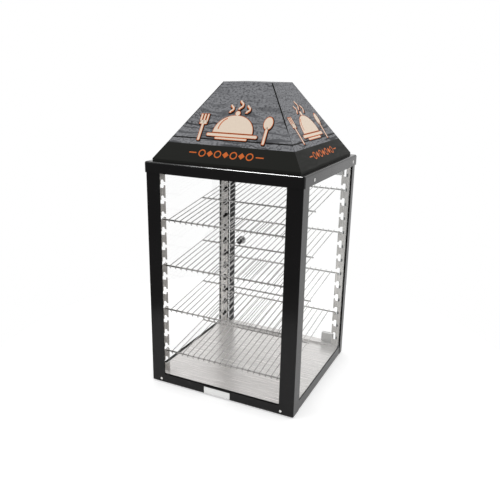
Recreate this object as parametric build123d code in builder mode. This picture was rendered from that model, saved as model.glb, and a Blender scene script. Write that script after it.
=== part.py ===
from build123d import *
import math
import os

os.makedirs("parts", exist_ok=True)

# Hot food merchandiser: a square glazed cabinet with four sloping wire shelves,
# a folded cap and a pyramid canopy. Millimetres, +Z up, front towards -Y.
# The origin lies on the ground, in the middle of the overall length and width.

# Cabinet
cabinet_width = 457.2
cabinet_depth = 445.0
cabinet_height = 662.0
foot_height = 4.5
foot_radius = 11.0
foot_inset = 24.0
foot_sides = 16
foot_taper = 6.0
sheet = 1.2
bend_radius = 2.5
glass_thickness = 4.0
seat_gap = 0.3
rail_height = 28.5

# Front frame and rear posts
stile_width = 43.5
front_return = 42.0
front_rail_top = 26.0
header_height = 31.0
hem_depth = 1.4
post_leg = 25.0

# Cap and ceiling
cap_overhang = 3.5
cap_height = 30.0
cap_corner_radius = 7.0
cap_edge_radius = 5.0
cap_seat = 0.6
cap_window_width = 300.0
cap_window_depth = 290.0
ceiling_flange = 12.0
slot_inset = 78.6
slot_pitch = 26.0
slot_rows = 7
slot_length = 60.0
slot_width = 6.0
top_rail_height = 33.5
top_rail_depth = 22.0

# Floor
steel = 1.0
deck_height = 24.0
sill_depth = 30.0
deck_edge = 0.9

# Notched shelf standards
standard_thickness = 1.5
standard_reach = 25.5
standard_leg = 30.0
rear_standard_leg = 12.0
front_standard_set = 43.0
rear_standard_set = 25.0
notch_pitch = 45.5
front_notch_below_top = 66.0
rear_notch_below_top = 53.0
lowest_notch_margin = 20.0
notch_mouth = 10.0
notch_lip = 4.8
notch_cavity = 24.0
notch_cavity_width = 10.0
notch_corner = 3.0
notch_drop = 1.2
notch_toe = 5.6
notch_toe_height = 10.0
notch_overcut = 1.0

# Wire shelves
shelf_notch_step = 3
front_notch = 3
rear_notch = 2
cross_wire = 4.8
rod_wire = 3.0
rod_count = 21
outer_rod_inset = 47.5
rod_sides = 6
cross_wire_sides = 8
wire_stand_off = 0.7
wire_end_inset = 22.0
wire_stub = 8.0
wire_bend = 3.6
middle_wire_overrun = 3.5
middle_wire_share = 0.49
rod_overrun = 5.5
rod_curl_start = 1.2
rod_curl_shoulder = 3.7
rod_curl_reach = 4.5
rod_curl_drop = 3.6

# Canopy
canopy_inset = 13.5
canopy_lip = 7.0
canopy_top_width = 145.0
canopy_top_depth = 140.0
canopy_height = 209.0
canopy_wall = 1.5

# Controls on the rear slope of the canopy
panel_rise = 78.0
panel_width = 176.0
panel_height = 60.0
panel_margin = 8.0
panel_sheet = 1.5
panel_corner = 3.0
cut_margin = 1.0
knob_offset = 54.0
heat_switch_offset = -18.0
light_switch_offset = -56.0
pilot_offset = 16.0
dial_radius = 17.0
dial_height = 15.0
dial_shaft = 3.0
shaft_clearance = 0.05
dial_lift = 0.4
dial_hole_gap = 1.0
dial_skirt_height = 6.0
grip_width = 9.0
grip_inset = 2.5
shaft_end_gap = 1.0
thermostat_size = 42.0
thermostat_depth = 26.0
shaft_depth = 9.0
switch_width = 22.0
switch_height = 30.0
bezel_height = 2.0
bezel_lap = 1.5
bezel_corner = 2.0
switch_hole_gap = 0.3
rocker_radius = 10.5
rocker_length = 15.0
rocker_gap = 0.4
rocker_tilt = 8.0
rocker_proud = 0.6
rocker_belly_cut = 4.7
rocker_pivot_depth = 2.0
switch_body_depth = 20.0
pilot_radius = 4.5
pilot_lip = 1.5
pilot_height = 4.0
pilot_depth = 15.5
pilot_taper = 14.0
gland_radius = 11.0
gland_length = 12.0
gland_shoulder = 2.0
gland_bore = 4.5
gland_bore_depth = 9.0
gland_rise = 26.0
gland_inset = 65.0
gland_wall = 3.0
gland_taper = 12.0

# Heater, fan and lamp above the ceiling
fan_shift = 20.0
fan_hole_radius = 56.0
fan_radius = 50.0
fan_hub_radius = 10.0
fan_blade_count = 5
fan_blade_width = 16.0
fan_blade_root = 6.0
fan_blade_pitch = 28.0
fan_blade_thickness = 1.2
fan_hub_height = 12.0
fan_lift = 14.0
bridge_height = 42.0
bridge_width = 34.0
bridge_span = 132.0
bridge_foot = 14.0
bridge_sheet = 2.0
bridge_hole_gap = 3.0
motor_radius = 30.0
motor_height = 44.0
motor_edge = 5.0
motor_shaft = 3.0
motor_bore_depth = 12.0
element_radius = 3.5
element_lift = 14.0
element_half_width = 88.0
element_front = -58.0
element_rear = 100.0
element_lead = 30.0
element_lead_gap = 30.0
element_bend = 12.0
element_sides = 8
bracket_width = 100.0
bracket_height = 26.0
bracket_sheet = 2.0
bracket_foot = 18.0
bracket_setback = 13.5
lamp_setback = 105.0
lens_radius = 34.0
lens_thickness = 4.0
lens_lap = 3.0
bulb_radius = 15.0
bulb_length = 62.0
bulb_lift = 22.0
bulb_edge = 7.0
holder_length = 26.0
holder_radius = 15.5
holder_leg_width = 18.0
holder_sheet = 2.0
holder_foot = 20.0
block_length = 46.0
block_width = 22.0
block_height = 18.0
block_base_height = 11.0
block_step = 3.5
block_gap = 23.0

# Rear door
door_side_gap = 8.0
door_clear = 1.5
door_inset = 6.0
pivot_inset = 36.5
pivot_radius = 3.0
pivot_length = 9.0
pivot_end_gap = 1.0
door_edge_reach = 4.0
clamp_length = 40.0
clamp_height = 30.0
clamp_thickness = 14.0
glass_notch = 14.0
channel_width = 17.0
channel_wall = 1.5
door_knob_radius = 14.0
door_knob_length = 22.0
knob_neck_radius = 7.5
knob_neck_length = 6.0
knob_head_start = 12.0
knob_rim = 2.5
door_knob_inset = 71.0
door_knob_rise = 334.0
stud_radius = 3.0
stud_proud = 1.0
stud_hole_radius = 4.0
washer_radius = 11.0
washer_thickness = 2.5
catch_width = 34.0
catch_height = 10.0
catch_inset = 2.0
bracket_length = 34.0
bracket_overrun = 8.0
bracket_corner = 3.0

# Places worked out from the sizes above
opening_top = cabinet_height - header_height
top_rail_bottom = cabinet_height - top_rail_height
front_notch_height = cabinet_height - front_notch_below_top
rear_notch_height = cabinet_height - rear_notch_below_top
notch_count = int((front_notch_height - deck_height - lowest_notch_margin) / notch_pitch) + 1
shelf_count = (notch_count - front_notch) // shelf_notch_step + 1
half_width = cabinet_width / 2
knob_overrun = door_knob_length - door_inset
y_front = -(cabinet_depth + knob_overrun - cap_overhang) / 2
y_rear = y_front + cabinet_depth
y_mid = (y_front + y_rear) / 2
z_base = foot_height
z_top = z_base + cabinet_height
z_plate = z_top - sheet - cap_seat
z_floor = z_base + sheet
z_deck = z_base + deck_height
z_sill = z_base + rail_height + steel
z_ceiling = z_base + opening_top
z_ceiling_top = z_ceiling + steel
glass_out = 2 * sheet + seat_gap
glass_in = glass_out + glass_thickness
front_glass_out = 2 * sheet + hem_depth + seat_gap
lining = glass_in + seat_gap
y_lining = y_front + front_glass_out + glass_thickness + seat_gap
z_glass_top = z_ceiling + ceiling_flange


def save(builder, name):
    builder.part.label = name
    export_step(builder.part, "parts/" + name + ".step")


def block(x0, x1, y0, y1, z0, z1):
    with BuildPart() as piece:
        with BuildSketch(Plane.XY.offset(z0)):
            with Locations(((x0 + x1) / 2, (y0 + y1) / 2)):
                Rectangle(x1 - x0, y1 - y0)
        extrude(amount=z1 - z0)
    return piece


# Rubber feet
with BuildPart() as rubber_feet:
    with BuildSketch(Plane.XY):
        with Locations((0, y_mid)):
            with GridLocations(cabinet_width - 2 * foot_inset, cabinet_depth - 2 * foot_inset, 2, 2):
                RegularPolygon(foot_radius, foot_sides)
    extrude(amount=foot_height, taper=-foot_taper)
save(rubber_feet, "rubber_feet")

# Base pan
with BuildPart() as base_pan:
    with BuildSketch(Plane.XY.offset(z_base)):
        with Locations((0, y_mid + hem_depth / 2)):
            Rectangle(cabinet_width - 2 * sheet, cabinet_depth - 2 * sheet - hem_depth)
    extrude(amount=rail_height)
    offset(amount=-sheet, openings=base_pan.faces().sort_by(Axis.Z)[-1])
save(base_pan, "base_pan")

# Front frame: one folded sheet with a glazed opening and side returns
with BuildPart() as front_frame:
    with BuildSketch(Plane.XY.offset(z_base)):
        with BuildLine():
            frame_path = Polyline(
                (-half_width, y_front + front_return),
                (-half_width, y_front),
                (half_width, y_front),
                (half_width, y_front + front_return),
            )
            offset(frame_path, amount=sheet, side=Side.LEFT, closed=True)
        make_face()
    extrude(amount=z_plate - z_base)
    outer_corners = front_frame.edges().filter_by(Axis.Z).group_by(Axis.Y)[0]
    fillet(outer_corners, bend_radius)
    with BuildSketch(Plane.XZ.offset(-y_front - sheet)):
        with Locations((0, z_base + (front_rail_top + opening_top) / 2)):
            Rectangle(
                cabinet_width - 2 * (stile_width - sheet),
                opening_top - front_rail_top + 2 * sheet,
            )
    extrude(amount=-hem_depth)
    with BuildSketch(Plane.XZ.offset(-y_front)):
        with Locations((0, z_base + (front_rail_top + opening_top) / 2)):
            Rectangle(cabinet_width - 2 * stile_width, opening_top - front_rail_top)
    extrude(amount=-(sheet + hem_depth), mode=Mode.SUBTRACT)
save(front_frame, "front_frame")

# Glass panes
front_glass = block(
    -half_width + glass_out,
    half_width - glass_out,
    y_front + front_glass_out,
    y_front + front_glass_out + glass_thickness,
    z_floor + seat_gap,
    z_glass_top,
)
save(front_glass, "front_glass")
for side, word in ((-1, "left"), (1, "right")):
    edge_a = side * (half_width - glass_out)
    edge_b = side * (half_width - glass_in)
    pane = block(
        min(edge_a, edge_b),
        max(edge_a, edge_b),
        y_lining,
        y_rear - glass_out,
        z_floor + seat_gap,
        z_glass_top,
    )
    save(pane, word + "_glass")

# Rear corner posts
for side, word in ((-1, "left"), (1, "right")):
    with BuildPart() as rear_post:
        with BuildSketch(Plane.XY.offset(z_base)):
            with BuildLine():
                post_path = Polyline(
                    (side * half_width, y_rear - post_leg),
                    (side * half_width, y_rear),
                    (side * (half_width - post_leg), y_rear),
                )
                offset(
                    post_path,
                    amount=sheet,
                    side=Side.LEFT if side > 0 else Side.RIGHT,
                    closed=True,
                )
            make_face()
        extrude(amount=z_plate - z_base)
        outer_corner = rear_post.edges().filter_by(Axis.Z).group_by(Axis.Y)[-1]
        fillet(outer_corner.sort_by(Axis.X)[-1 if side > 0 else 0], bend_radius)
    save(rear_post, "rear_" + word + "_post")

# Rear top rail: a channel that opens forwards
with BuildPart() as rear_top_rail:
    with BuildSketch(Plane.YZ.offset(-half_width + lining + standard_thickness + seat_gap)):
        with BuildLine():
            rail_path = Polyline(
                (y_rear - sheet - top_rail_depth, z_plate),
                (y_rear - sheet, z_plate),
                (y_rear - sheet, z_base + top_rail_bottom),
                (y_rear - sheet - top_rail_depth, z_base + top_rail_bottom),
            )
            offset(rail_path, amount=sheet, side=Side.RIGHT, closed=True)
        make_face()
    extrude(amount=cabinet_width - 2 * (lining + standard_thickness + seat_gap))
save(rear_top_rail, "rear_top_rail")

# Stainless floor: a deck with turned-down edges and a sill behind it
y_deck_front = y_lining
y_sill_front = y_rear - sill_depth
with BuildPart() as floor_deck:
    with BuildSketch(Plane.XY.offset(z_floor)):
        with Locations((0, (y_deck_front + y_sill_front) / 2)):
            Rectangle(cabinet_width - 2 * lining, y_sill_front - y_deck_front)
    extrude(amount=z_deck - z_floor)
    offset(amount=-steel, openings=floor_deck.faces().sort_by(Axis.Z)[0])
    rim = floor_deck.faces().sort_by(Axis.Z)[-1].edges()
    fillet(rim, deck_edge)
save(floor_deck, "floor_deck")

with BuildPart() as rear_sill:
    with BuildSketch(Plane.YZ.offset(-half_width + lining + standard_thickness + seat_gap)):
        with BuildLine():
            sill_path = Polyline(
                (y_sill_front, z_floor),
                (y_sill_front, z_sill),
                (y_rear - sheet, z_sill),
            )
            offset(sill_path, amount=steel, side=Side.RIGHT, closed=True)
        make_face()
    extrude(amount=cabinet_width - 2 * (lining + standard_thickness + seat_gap))
save(rear_sill, "rear_sill")

# Ceiling pan with the air hole of the fan, the lamp window and return slots
y_ceiling_rear = y_rear - sheet - top_rail_depth - seat_gap
with BuildPart() as ceiling_pan:
    with BuildSketch(Plane.XY.offset(z_ceiling)):
        with Locations((0, (y_deck_front + y_ceiling_rear) / 2)):
            Rectangle(cabinet_width - 2 * lining, y_ceiling_rear - y_deck_front)
    extrude(amount=ceiling_flange)
    offset(amount=-steel, openings=ceiling_pan.faces().sort_by(Axis.Z)[-1])
    with BuildSketch(Plane.XY.offset(z_ceiling)):
        with Locations((0, y_mid + fan_shift)):
            Circle(fan_hole_radius)
        with Locations((0, y_mid - lamp_setback)):
            Circle(lens_radius - lens_lap)
        with Locations((0, y_mid + fan_shift)):
            with GridLocations(cabinet_width - 2 * slot_inset, slot_pitch, 2, slot_rows):
                Rectangle(slot_length, slot_width)
    extrude(amount=2 * steel, mode=Mode.SUBTRACT)
save(ceiling_pan, "ceiling_pan")


def shelf_notch(side):
    """A narrow mouth, a tall cavity with cut corners and a toe in its lower corner."""
    toe_z = -notch_drop - notch_cavity / 2 + notch_toe_height / 2
    with BuildSketch() as notch:
        with Locations((side * (notch_lip + notch_cavity_width / 2), -notch_drop)):
            Rectangle(notch_cavity_width, notch_cavity)
        chamfer(notch.vertices(), notch_corner)
        with Locations((side * notch_lip / 2, 0)):
            Rectangle(notch_lip + 2 * notch_overcut, notch_mouth)
        with Locations((side * (notch_lip + notch_cavity_width), toe_z)):
            Rectangle(2 * notch_toe, notch_toe_height)
    return notch.sketch


def notched_standard(side, front):
    """An angle strip whose inner leg carries a column of shelf notches."""
    y_plate = y_front + front_standard_set if front else y_rear - rear_standard_set
    y_corner = y_plate + standard_thickness if front else y_plate
    leg = standard_leg if front else rear_standard_leg
    leg_end = y_corner - leg if front else y_corner + leg
    z_foot = z_deck if front else z_sill
    z_head = z_ceiling if front else z_base + top_rail_bottom
    z_first = z_base + (front_notch_height if front else rear_notch_height)
    x_wall = side * (half_width - lining)
    x_free = side * (half_width - lining - standard_reach)
    with BuildPart() as strip:
        with BuildSketch(Plane.XY.offset(z_foot)):
            with Locations(((x_wall + x_free) / 2, y_plate + standard_thickness / 2)):
                Rectangle(standard_reach, standard_thickness)
            with Locations((x_wall - side * standard_thickness / 2, (y_corner + leg_end) / 2)):
                Rectangle(standard_thickness, leg)
        extrude(amount=z_head - z_foot)
        with BuildSketch(Plane.XZ.offset(-y_plate + notch_overcut)):
            with Locations(*[(x_free, z_first - row * notch_pitch) for row in range(notch_count)]):
                add(shelf_notch(side))
        extrude(amount=-(standard_thickness + 2 * notch_overcut), mode=Mode.SUBTRACT)
    return strip


for side, word in ((-1, "left"), (1, "right")):
    save(notched_standard(side, True), "standard_front_" + word)
    save(notched_standard(side, False), "standard_rear_" + word)

# Wire shelves: three cross wires under a row of fine rods, turned down at the front
notch_floor = notch_drop + notch_cavity / 2
wire_rest = notch_floor - cross_wire / 2 - seat_gap
y_front_plate = y_front + front_standard_set
y_rear_plate = y_rear - rear_standard_set + standard_thickness
y_front_wire = y_front_plate - wire_stand_off - cross_wire / 2
y_rear_wire = y_rear_plate + wire_stand_off + cross_wire / 2
wire_reach = half_width - wire_end_inset
rod_pitch = (cabinet_width - 2 * outer_rod_inset) / (rod_count - 1)
flat_turn = 180 / cross_wire_sides


def bent_wire(plane, points, radius, side_count, turn=0):
    """A wire of straight runs, mitred where it turns, with a few flat sides."""
    with BuildPart() as wire:
        with BuildLine(plane):
            path = Polyline(*points)
        with BuildSketch(Plane(origin=path @ 0, z_dir=path % 0)):
            RegularPolygon(radius, side_count, major_radius=False, rotation=turn)
        sweep(transition=Transition.RIGHT)
    return wire


def wire_shelf(index):
    z_front = z_base + front_notch_height - (front_notch - 1 + index * shelf_notch_step) * notch_pitch
    z_rear = z_base + rear_notch_height - (rear_notch - 1 + index * shelf_notch_step) * notch_pitch
    # the wires tilt with the shelf, so each touches its notch at the plate's forward face
    tilt = (z_rear - z_front) / (y_rear_wire - y_front_wire)
    reach = wire_stand_off + cross_wire / 2
    front_seat = Vector(0, y_front_wire, z_front - wire_rest - tilt * reach)
    rear_seat = Vector(0, y_rear_wire, z_rear - wire_rest + tilt * (reach + standard_thickness))
    run = rear_seat - front_seat
    span = run.length
    with BuildPart() as shelf:
        # cross wires with ends turned through the notches
        for along, inward in ((0, 1), (span, -1)):
            stub = along + inward * (wire_stub + cross_wire)
            turn = along + inward * wire_bend
            cross_points = (
                (-wire_reach, stub),
                (-wire_reach, turn),
                (wire_bend - wire_reach, along),
                (wire_reach - wire_bend, along),
                (wire_reach, turn),
                (wire_reach, stub),
            )
            add(bent_wire(Plane.XY, cross_points, cross_wire / 2, cross_wire_sides, flat_turn).part)
        middle_reach = half_width - outer_rod_inset + middle_wire_overrun
        middle = span * middle_wire_share
        middle_points = ((-middle_reach, middle), (middle_reach, middle))
        add(bent_wire(Plane.XY, middle_points, cross_wire / 2, cross_wire_sides, flat_turn).part)
        # fine rods that lie on the cross wires and turn down over the front one
        rod_lift = (cross_wire + rod_wire) / 2
        rod_points = (
            (span + rod_overrun, rod_lift),
            (-rod_curl_start, rod_lift),
            (-rod_curl_shoulder, rod_lift / 2),
            (-rod_curl_reach, 0),
            (-rod_curl_reach, -rod_curl_drop),
        )
        rod = bent_wire(Plane.YZ, rod_points, rod_wire / 2, rod_sides)
        with GridLocations(rod_pitch, 1, rod_count, 1):
            add(rod.part)
    slope = Plane(origin=front_seat, x_dir=(1, 0, 0), z_dir=Vector(1, 0, 0).cross(run))
    shelf.part = shelf.part.moved(slope.location)
    return shelf


for shelf_index in range(shelf_count):
    save(wire_shelf(shelf_index), "wire_shelf_" + str(shelf_index + 1))


# Cap: a folded lid with rounded corners and a window under the canopy
with BuildPart() as top_cap:
    with BuildSketch(Plane.XY.offset(z_top - cap_height)):
        with Locations((0, y_mid)):
            RectangleRounded(
                cabinet_width + 2 * cap_overhang,
                cabinet_depth + 2 * cap_overhang,
                cap_corner_radius,
            )
    extrude(amount=cap_height)
    fillet(top_cap.faces().sort_by(Axis.Z)[-1].edges(), cap_edge_radius)
    offset(amount=-sheet, openings=top_cap.faces().sort_by(Axis.Z)[0])
    with BuildSketch(Plane.XY.offset(z_top)):
        with Locations((0, y_mid)):
            Rectangle(cap_window_width, cap_window_depth)
    extrude(amount=-2 * sheet, mode=Mode.SUBTRACT)
save(top_cap, "top_cap")

# Canopy: a sheet pyramid with a flat top and a short upright lip
canopy_width = cabinet_width - 2 * canopy_inset
canopy_depth = cabinet_depth - 2 * canopy_inset
z_slope = z_top + canopy_lip
z_canopy = z_top + canopy_height
slope_rise = z_canopy - z_slope
slope_run = (canopy_depth - canopy_top_depth) / 2
slope_angle = math.atan2(slope_rise, slope_run)
wall_inset = canopy_wall / math.sin(slope_angle)
wall_top_inset = wall_inset - canopy_wall / math.tan(slope_angle)
inner_width = canopy_width - 2 * wall_inset
inner_depth = canopy_depth - 2 * wall_inset
slope_point = Vector(
    0,
    y_mid + canopy_depth / 2 - panel_rise / math.tan(slope_angle),
    z_slope + panel_rise,
)
slope_normal = Vector(0, math.sin(slope_angle), math.cos(slope_angle))
panel_plane = Plane(origin=slope_point, x_dir=(-1, 0, 0), z_dir=slope_normal)
gland_offset = gland_inset - canopy_width / 2
gland_along = gland_rise - panel_rise / math.sin(slope_angle)


def panel_place(offset_x, lift=0.0):
    """The control panel's plane, moved along the panel and outwards."""
    return panel_plane.shift_origin(panel_plane.from_local_coords(Vector(offset_x, 0, 0))).offset(lift)




def pyramid(width, depth, top_width, top_depth, z_top_face):
    """A block with four sloping sides: one trapezoid drawn out and cut by another."""
    with BuildPart() as block_of_slopes:
        with BuildSketch(Plane.XZ.offset(-y_mid - depth / 2)):
            with BuildLine():
                Polyline(
                    (-width / 2, z_slope),
                    (width / 2, z_slope),
                    (top_width / 2, z_top_face),
                    (-top_width / 2, z_top_face),
                    close=True,
                )
            make_face()
        extrude(amount=depth)
        with BuildSketch(Plane.YZ.offset(-width / 2)):
            with BuildLine():
                Polyline(
                    (y_mid - depth / 2, z_slope),
                    (y_mid + depth / 2, z_slope),
                    (y_mid + top_depth / 2, z_top_face),
                    (y_mid - top_depth / 2, z_top_face),
                    close=True,
                )
            make_face()
        extrude(amount=width, mode=Mode.INTERSECT)
    return block_of_slopes.part


with BuildPart() as canopy:
    with BuildSketch(Plane.XY.offset(z_top)):
        with Locations((0, y_mid)):
            Rectangle(canopy_width, canopy_depth)
    extrude(amount=canopy_lip)
    add(pyramid(canopy_width, canopy_depth, canopy_top_width, canopy_top_depth, z_canopy))
    with BuildSketch(Plane.XY.offset(z_top)):
        with Locations((0, y_mid)):
            Rectangle(inner_width, inner_depth)
    extrude(amount=canopy_lip, mode=Mode.SUBTRACT)
    inner_top = (canopy_top_width - 2 * wall_top_inset, canopy_top_depth - 2 * wall_top_inset)
    add(pyramid(inner_width, inner_depth, *inner_top, z_canopy - canopy_wall), mode=Mode.SUBTRACT)
    # opening behind the control panel, and the hole of the cord gland
    with BuildSketch(panel_plane.offset(cut_margin)):
        Rectangle(panel_width - 2 * panel_margin, panel_height - 2 * panel_margin)
        with Locations((gland_offset, gland_along)):
            Circle(gland_radius - gland_wall)
    extrude(amount=-(canopy_wall + 2 * cut_margin), mode=Mode.SUBTRACT)
save(canopy, "canopy")

# Control panel on the operator's side
with BuildPart() as control_panel:
    with BuildSketch(panel_plane):
        RectangleRounded(panel_width, panel_height, panel_corner)
        with Locations((knob_offset, 0)):
            Circle(dial_shaft + dial_hole_gap, mode=Mode.SUBTRACT)
        with Locations((pilot_offset, 0)):
            Circle(pilot_radius, mode=Mode.SUBTRACT)
        with Locations((heat_switch_offset, 0), (light_switch_offset, 0)):
            Rectangle(switch_width - 2 * bezel_lap, switch_height - 2 * bezel_lap, mode=Mode.SUBTRACT)
    extrude(amount=panel_sheet)
save(control_panel, "control_panel")

# Thermostat: a box behind the panel and a dial whose shaft turns in it
with BuildPart() as thermostat_body:
    with BuildSketch(panel_place(knob_offset)):
        RectangleRounded(thermostat_size, thermostat_size, panel_corner)
    extrude(amount=-thermostat_depth)
    with BuildSketch(panel_place(knob_offset)):
        Circle(dial_shaft + shaft_clearance)
    extrude(amount=-shaft_depth, mode=Mode.SUBTRACT)
save(thermostat_body, "thermostat_body")

dial_plane = panel_place(knob_offset, panel_sheet + dial_lift)
with BuildPart() as thermostat_dial:
    with BuildSketch(dial_plane):
        Circle(dial_radius)
    extrude(amount=dial_skirt_height)
    with BuildSketch(dial_plane):
        Rectangle(grip_width, 2 * (dial_radius - grip_inset))
    extrude(amount=dial_height)
    with BuildSketch(dial_plane):
        Circle(dial_shaft)
    extrude(amount=-(panel_sheet + dial_lift + shaft_depth - shaft_end_gap))
save(thermostat_dial, "thermostat_dial")


def switch_planes(offset_x):
    face = panel_place(offset_x)
    pivot = panel_plane.from_local_coords(Vector(offset_x, 0, panel_sheet + bezel_height - rocker_pivot_depth))
    across = Plane(origin=pivot, x_dir=panel_plane.y_dir, z_dir=panel_plane.x_dir)
    return face, across


def switch_body(offset_x):
    """The bezel and the box of a rocker switch, hollowed round the rocker."""
    face, across = switch_planes(offset_x)
    with BuildPart() as body:
        with BuildSketch(face.offset(panel_sheet)):
            RectangleRounded(switch_width, switch_height, bezel_corner)
        extrude(amount=bezel_height)
        with BuildSketch(face.offset(panel_sheet)):
            box_lap = 2 * (bezel_lap + switch_hole_gap)
            Rectangle(switch_width - box_lap, switch_height - box_lap)
        extrude(amount=-switch_body_depth)
        with BuildSketch(across.offset(-rocker_length / 2 - rocker_gap)):
            Circle(rocker_radius + rocker_gap)
        extrude(amount=rocker_length + 2 * rocker_gap, mode=Mode.SUBTRACT)
    return body


def switch_rocker(offset_x):
    """A rocker with a round belly and a shallow V top, stored with one end pressed."""
    face, across = switch_planes(offset_x)
    with BuildPart() as rocker:
        with BuildSketch(across.offset(-rocker_length / 2)):
            Circle(rocker_radius)
            # the top's pressed half lies level and the raised half slopes up from the middle
            for turn, lean in ((1, 0), (-1, -2 * rocker_tilt)):
                with Locations(Location((0, rocker_pivot_depth + rocker_proud, 0), (0, 0, lean))):
                    with Locations((turn * rocker_radius, rocker_radius)):
                        Rectangle(2 * rocker_radius, 2 * rocker_radius, mode=Mode.SUBTRACT)
            with Locations((0, -rocker_radius)):
                Rectangle(2 * rocker_radius, 2 * rocker_belly_cut, mode=Mode.SUBTRACT)
        extrude(amount=rocker_length)
    return rocker


for name, offset_x in (("heat", heat_switch_offset), ("light", light_switch_offset)):
    save(switch_body(offset_x), name + "_switch_body")
    save(switch_rocker(offset_x), name + "_switch_rocker")

with BuildPart() as pilot_lamp:
    with BuildSketch(panel_place(pilot_offset, panel_sheet)):
        Circle(pilot_radius - shaft_clearance)
    extrude(amount=-pilot_depth)
    with BuildSketch(panel_place(pilot_offset, panel_sheet)):
        Circle(pilot_radius + pilot_lip)
    extrude(amount=pilot_height, taper=pilot_taper)
save(pilot_lamp, "pilot_lamp")

gland_plane = panel_plane.shift_origin(panel_plane.from_local_coords(Vector(gland_offset, gland_along, 0)))
with BuildPart() as cord_gland:
    with BuildSketch(gland_plane):
        RegularPolygon(gland_radius, 6)
    extrude(amount=gland_length / 2)
    with BuildSketch(gland_plane.offset(gland_length / 2)):
        Circle(gland_radius - gland_shoulder)
    extrude(amount=gland_length / 2, taper=gland_taper)
    with BuildSketch(gland_plane):
        Circle(gland_radius - gland_wall - shaft_clearance)
    extrude(amount=-gland_length)
    with BuildSketch(gland_plane.offset(gland_length)):
        Circle(gland_bore)
    extrude(amount=-gland_bore_depth, mode=Mode.SUBTRACT)
save(cord_gland, "cord_gland")

# Fan: a bridge over the air hole carries the motor, and the blades hang under it
y_fan = y_mid + fan_shift
z_bridge = z_ceiling_top + bridge_height
with BuildPart() as fan_bridge:
    with BuildSketch(Plane.XZ.offset(-y_fan - bridge_width / 2)):
        with BuildLine():
            bridge_path = Polyline(
                (-bridge_span / 2 - bridge_foot, z_ceiling_top),
                (-bridge_span / 2, z_ceiling_top),
                (-bridge_span / 2, z_bridge),
                (bridge_span / 2, z_bridge),
                (bridge_span / 2, z_ceiling_top),
                (bridge_span / 2 + bridge_foot, z_ceiling_top),
            )
            offset(bridge_path, amount=bridge_sheet, side=Side.LEFT, closed=True)
        make_face()
    extrude(amount=bridge_width)
    with BuildSketch(Plane.XY.offset(z_bridge)):
        with Locations((0, y_fan)):
            Circle(motor_shaft + bridge_hole_gap)
    extrude(amount=bridge_sheet, mode=Mode.SUBTRACT)
save(fan_bridge, "fan_bridge")

z_motor = z_bridge + bridge_sheet
with BuildPart() as fan_motor:
    with BuildSketch(Plane.XY.offset(z_motor)):
        with Locations((0, y_fan)):
            Circle(motor_radius)
    extrude(amount=motor_height)
    chamfer(fan_motor.faces().sort_by(Axis.Z)[-1].edges(), motor_edge)
    with BuildSketch(Plane.XY.offset(z_motor)):
        with Locations((0, y_fan)):
            Circle(motor_shaft + shaft_clearance)
    extrude(amount=motor_bore_depth, mode=Mode.SUBTRACT)
save(fan_motor, "fan_motor")

z_hub = z_ceiling_top + fan_lift
with BuildPart() as fan_blades:
    with BuildSketch(Plane.XY.offset(z_hub)):
        with Locations((0, y_fan)):
            Circle(fan_hub_radius)
    extrude(amount=fan_hub_height)
    with BuildSketch(Plane.XY.offset(z_hub)):
        with Locations((0, y_fan)):
            Circle(motor_shaft)
    extrude(amount=z_motor - z_hub + motor_bore_depth - shaft_end_gap)
    for number in range(fan_blade_count):
        turn = 360 / fan_blade_count * number
        spoke = Plane(
            origin=(0, y_fan, z_hub + fan_hub_height / 2),
            x_dir=(-math.sin(math.radians(turn)), math.cos(math.radians(turn)), 0),
            z_dir=(math.cos(math.radians(turn)), math.sin(math.radians(turn)), 0),
        )
        with BuildSketch(spoke.offset(fan_blade_root)):
            Rectangle(fan_blade_width, fan_blade_thickness, rotation=fan_blade_pitch)
        extrude(amount=fan_radius - fan_blade_root)
save(fan_blades, "fan_blades")

# Heating element: a sheathed loop round the air hole, its leads through an upright plate
z_element = z_ceiling_top + element_lift
y_fore = y_mid + element_front
y_back = y_mid + element_rear
y_lead = y_back + element_lead
y_bracket = y_lead - bracket_setback
with BuildPart() as heating_element:
    with BuildLine(Plane.XY.offset(z_element)):
        element_path = Polyline(
            (-element_lead_gap, y_lead),
            (-element_lead_gap, y_back + element_bend),
            (-element_lead_gap - element_bend, y_back),
            (-element_half_width + element_bend, y_back),
            (-element_half_width, y_back - element_bend),
            (-element_half_width, y_fore + element_bend),
            (-element_half_width + element_bend, y_fore),
            (element_half_width - element_bend, y_fore),
            (element_half_width, y_fore + element_bend),
            (element_half_width, y_back - element_bend),
            (element_half_width - element_bend, y_back),
            (element_lead_gap + element_bend, y_back),
            (element_lead_gap, y_back + element_bend),
            (element_lead_gap, y_lead),
        )
    with BuildSketch(Plane(origin=element_path @ 0, x_dir=(1, 0, 0), z_dir=element_path % 0)):
        RegularPolygon(element_radius, element_sides, rotation=180 / element_sides)
    sweep(transition=Transition.RIGHT)
save(heating_element, "heating_element")

with BuildPart() as element_bracket:
    with BuildSketch(Plane.XZ.offset(-y_bracket)):
        with Locations((0, z_ceiling_top + bracket_height / 2)):
            Rectangle(bracket_width, bracket_height)
        with Locations((-element_lead_gap, z_element), (element_lead_gap, z_element)):
            Circle(element_radius + shaft_clearance, mode=Mode.SUBTRACT)
    extrude(amount=-bracket_sheet)
    with BuildSketch(Plane.XY.offset(z_ceiling_top)):
        with Locations((0, y_bracket + bracket_foot / 2)):
            Rectangle(bracket_width, bracket_foot)
    extrude(amount=bracket_sheet)
save(element_bracket, "element_bracket")

# Lamp: a glass disc over the ceiling hole, a tube bulb and its holder
y_lamp = y_mid - lamp_setback
with BuildPart() as lamp_lens:
    with BuildSketch(Plane.XY.offset(z_ceiling_top)):
        with Locations((0, y_lamp)):
            Circle(lens_radius)
    extrude(amount=lens_thickness)
save(lamp_lens, "lamp_lens")

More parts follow.
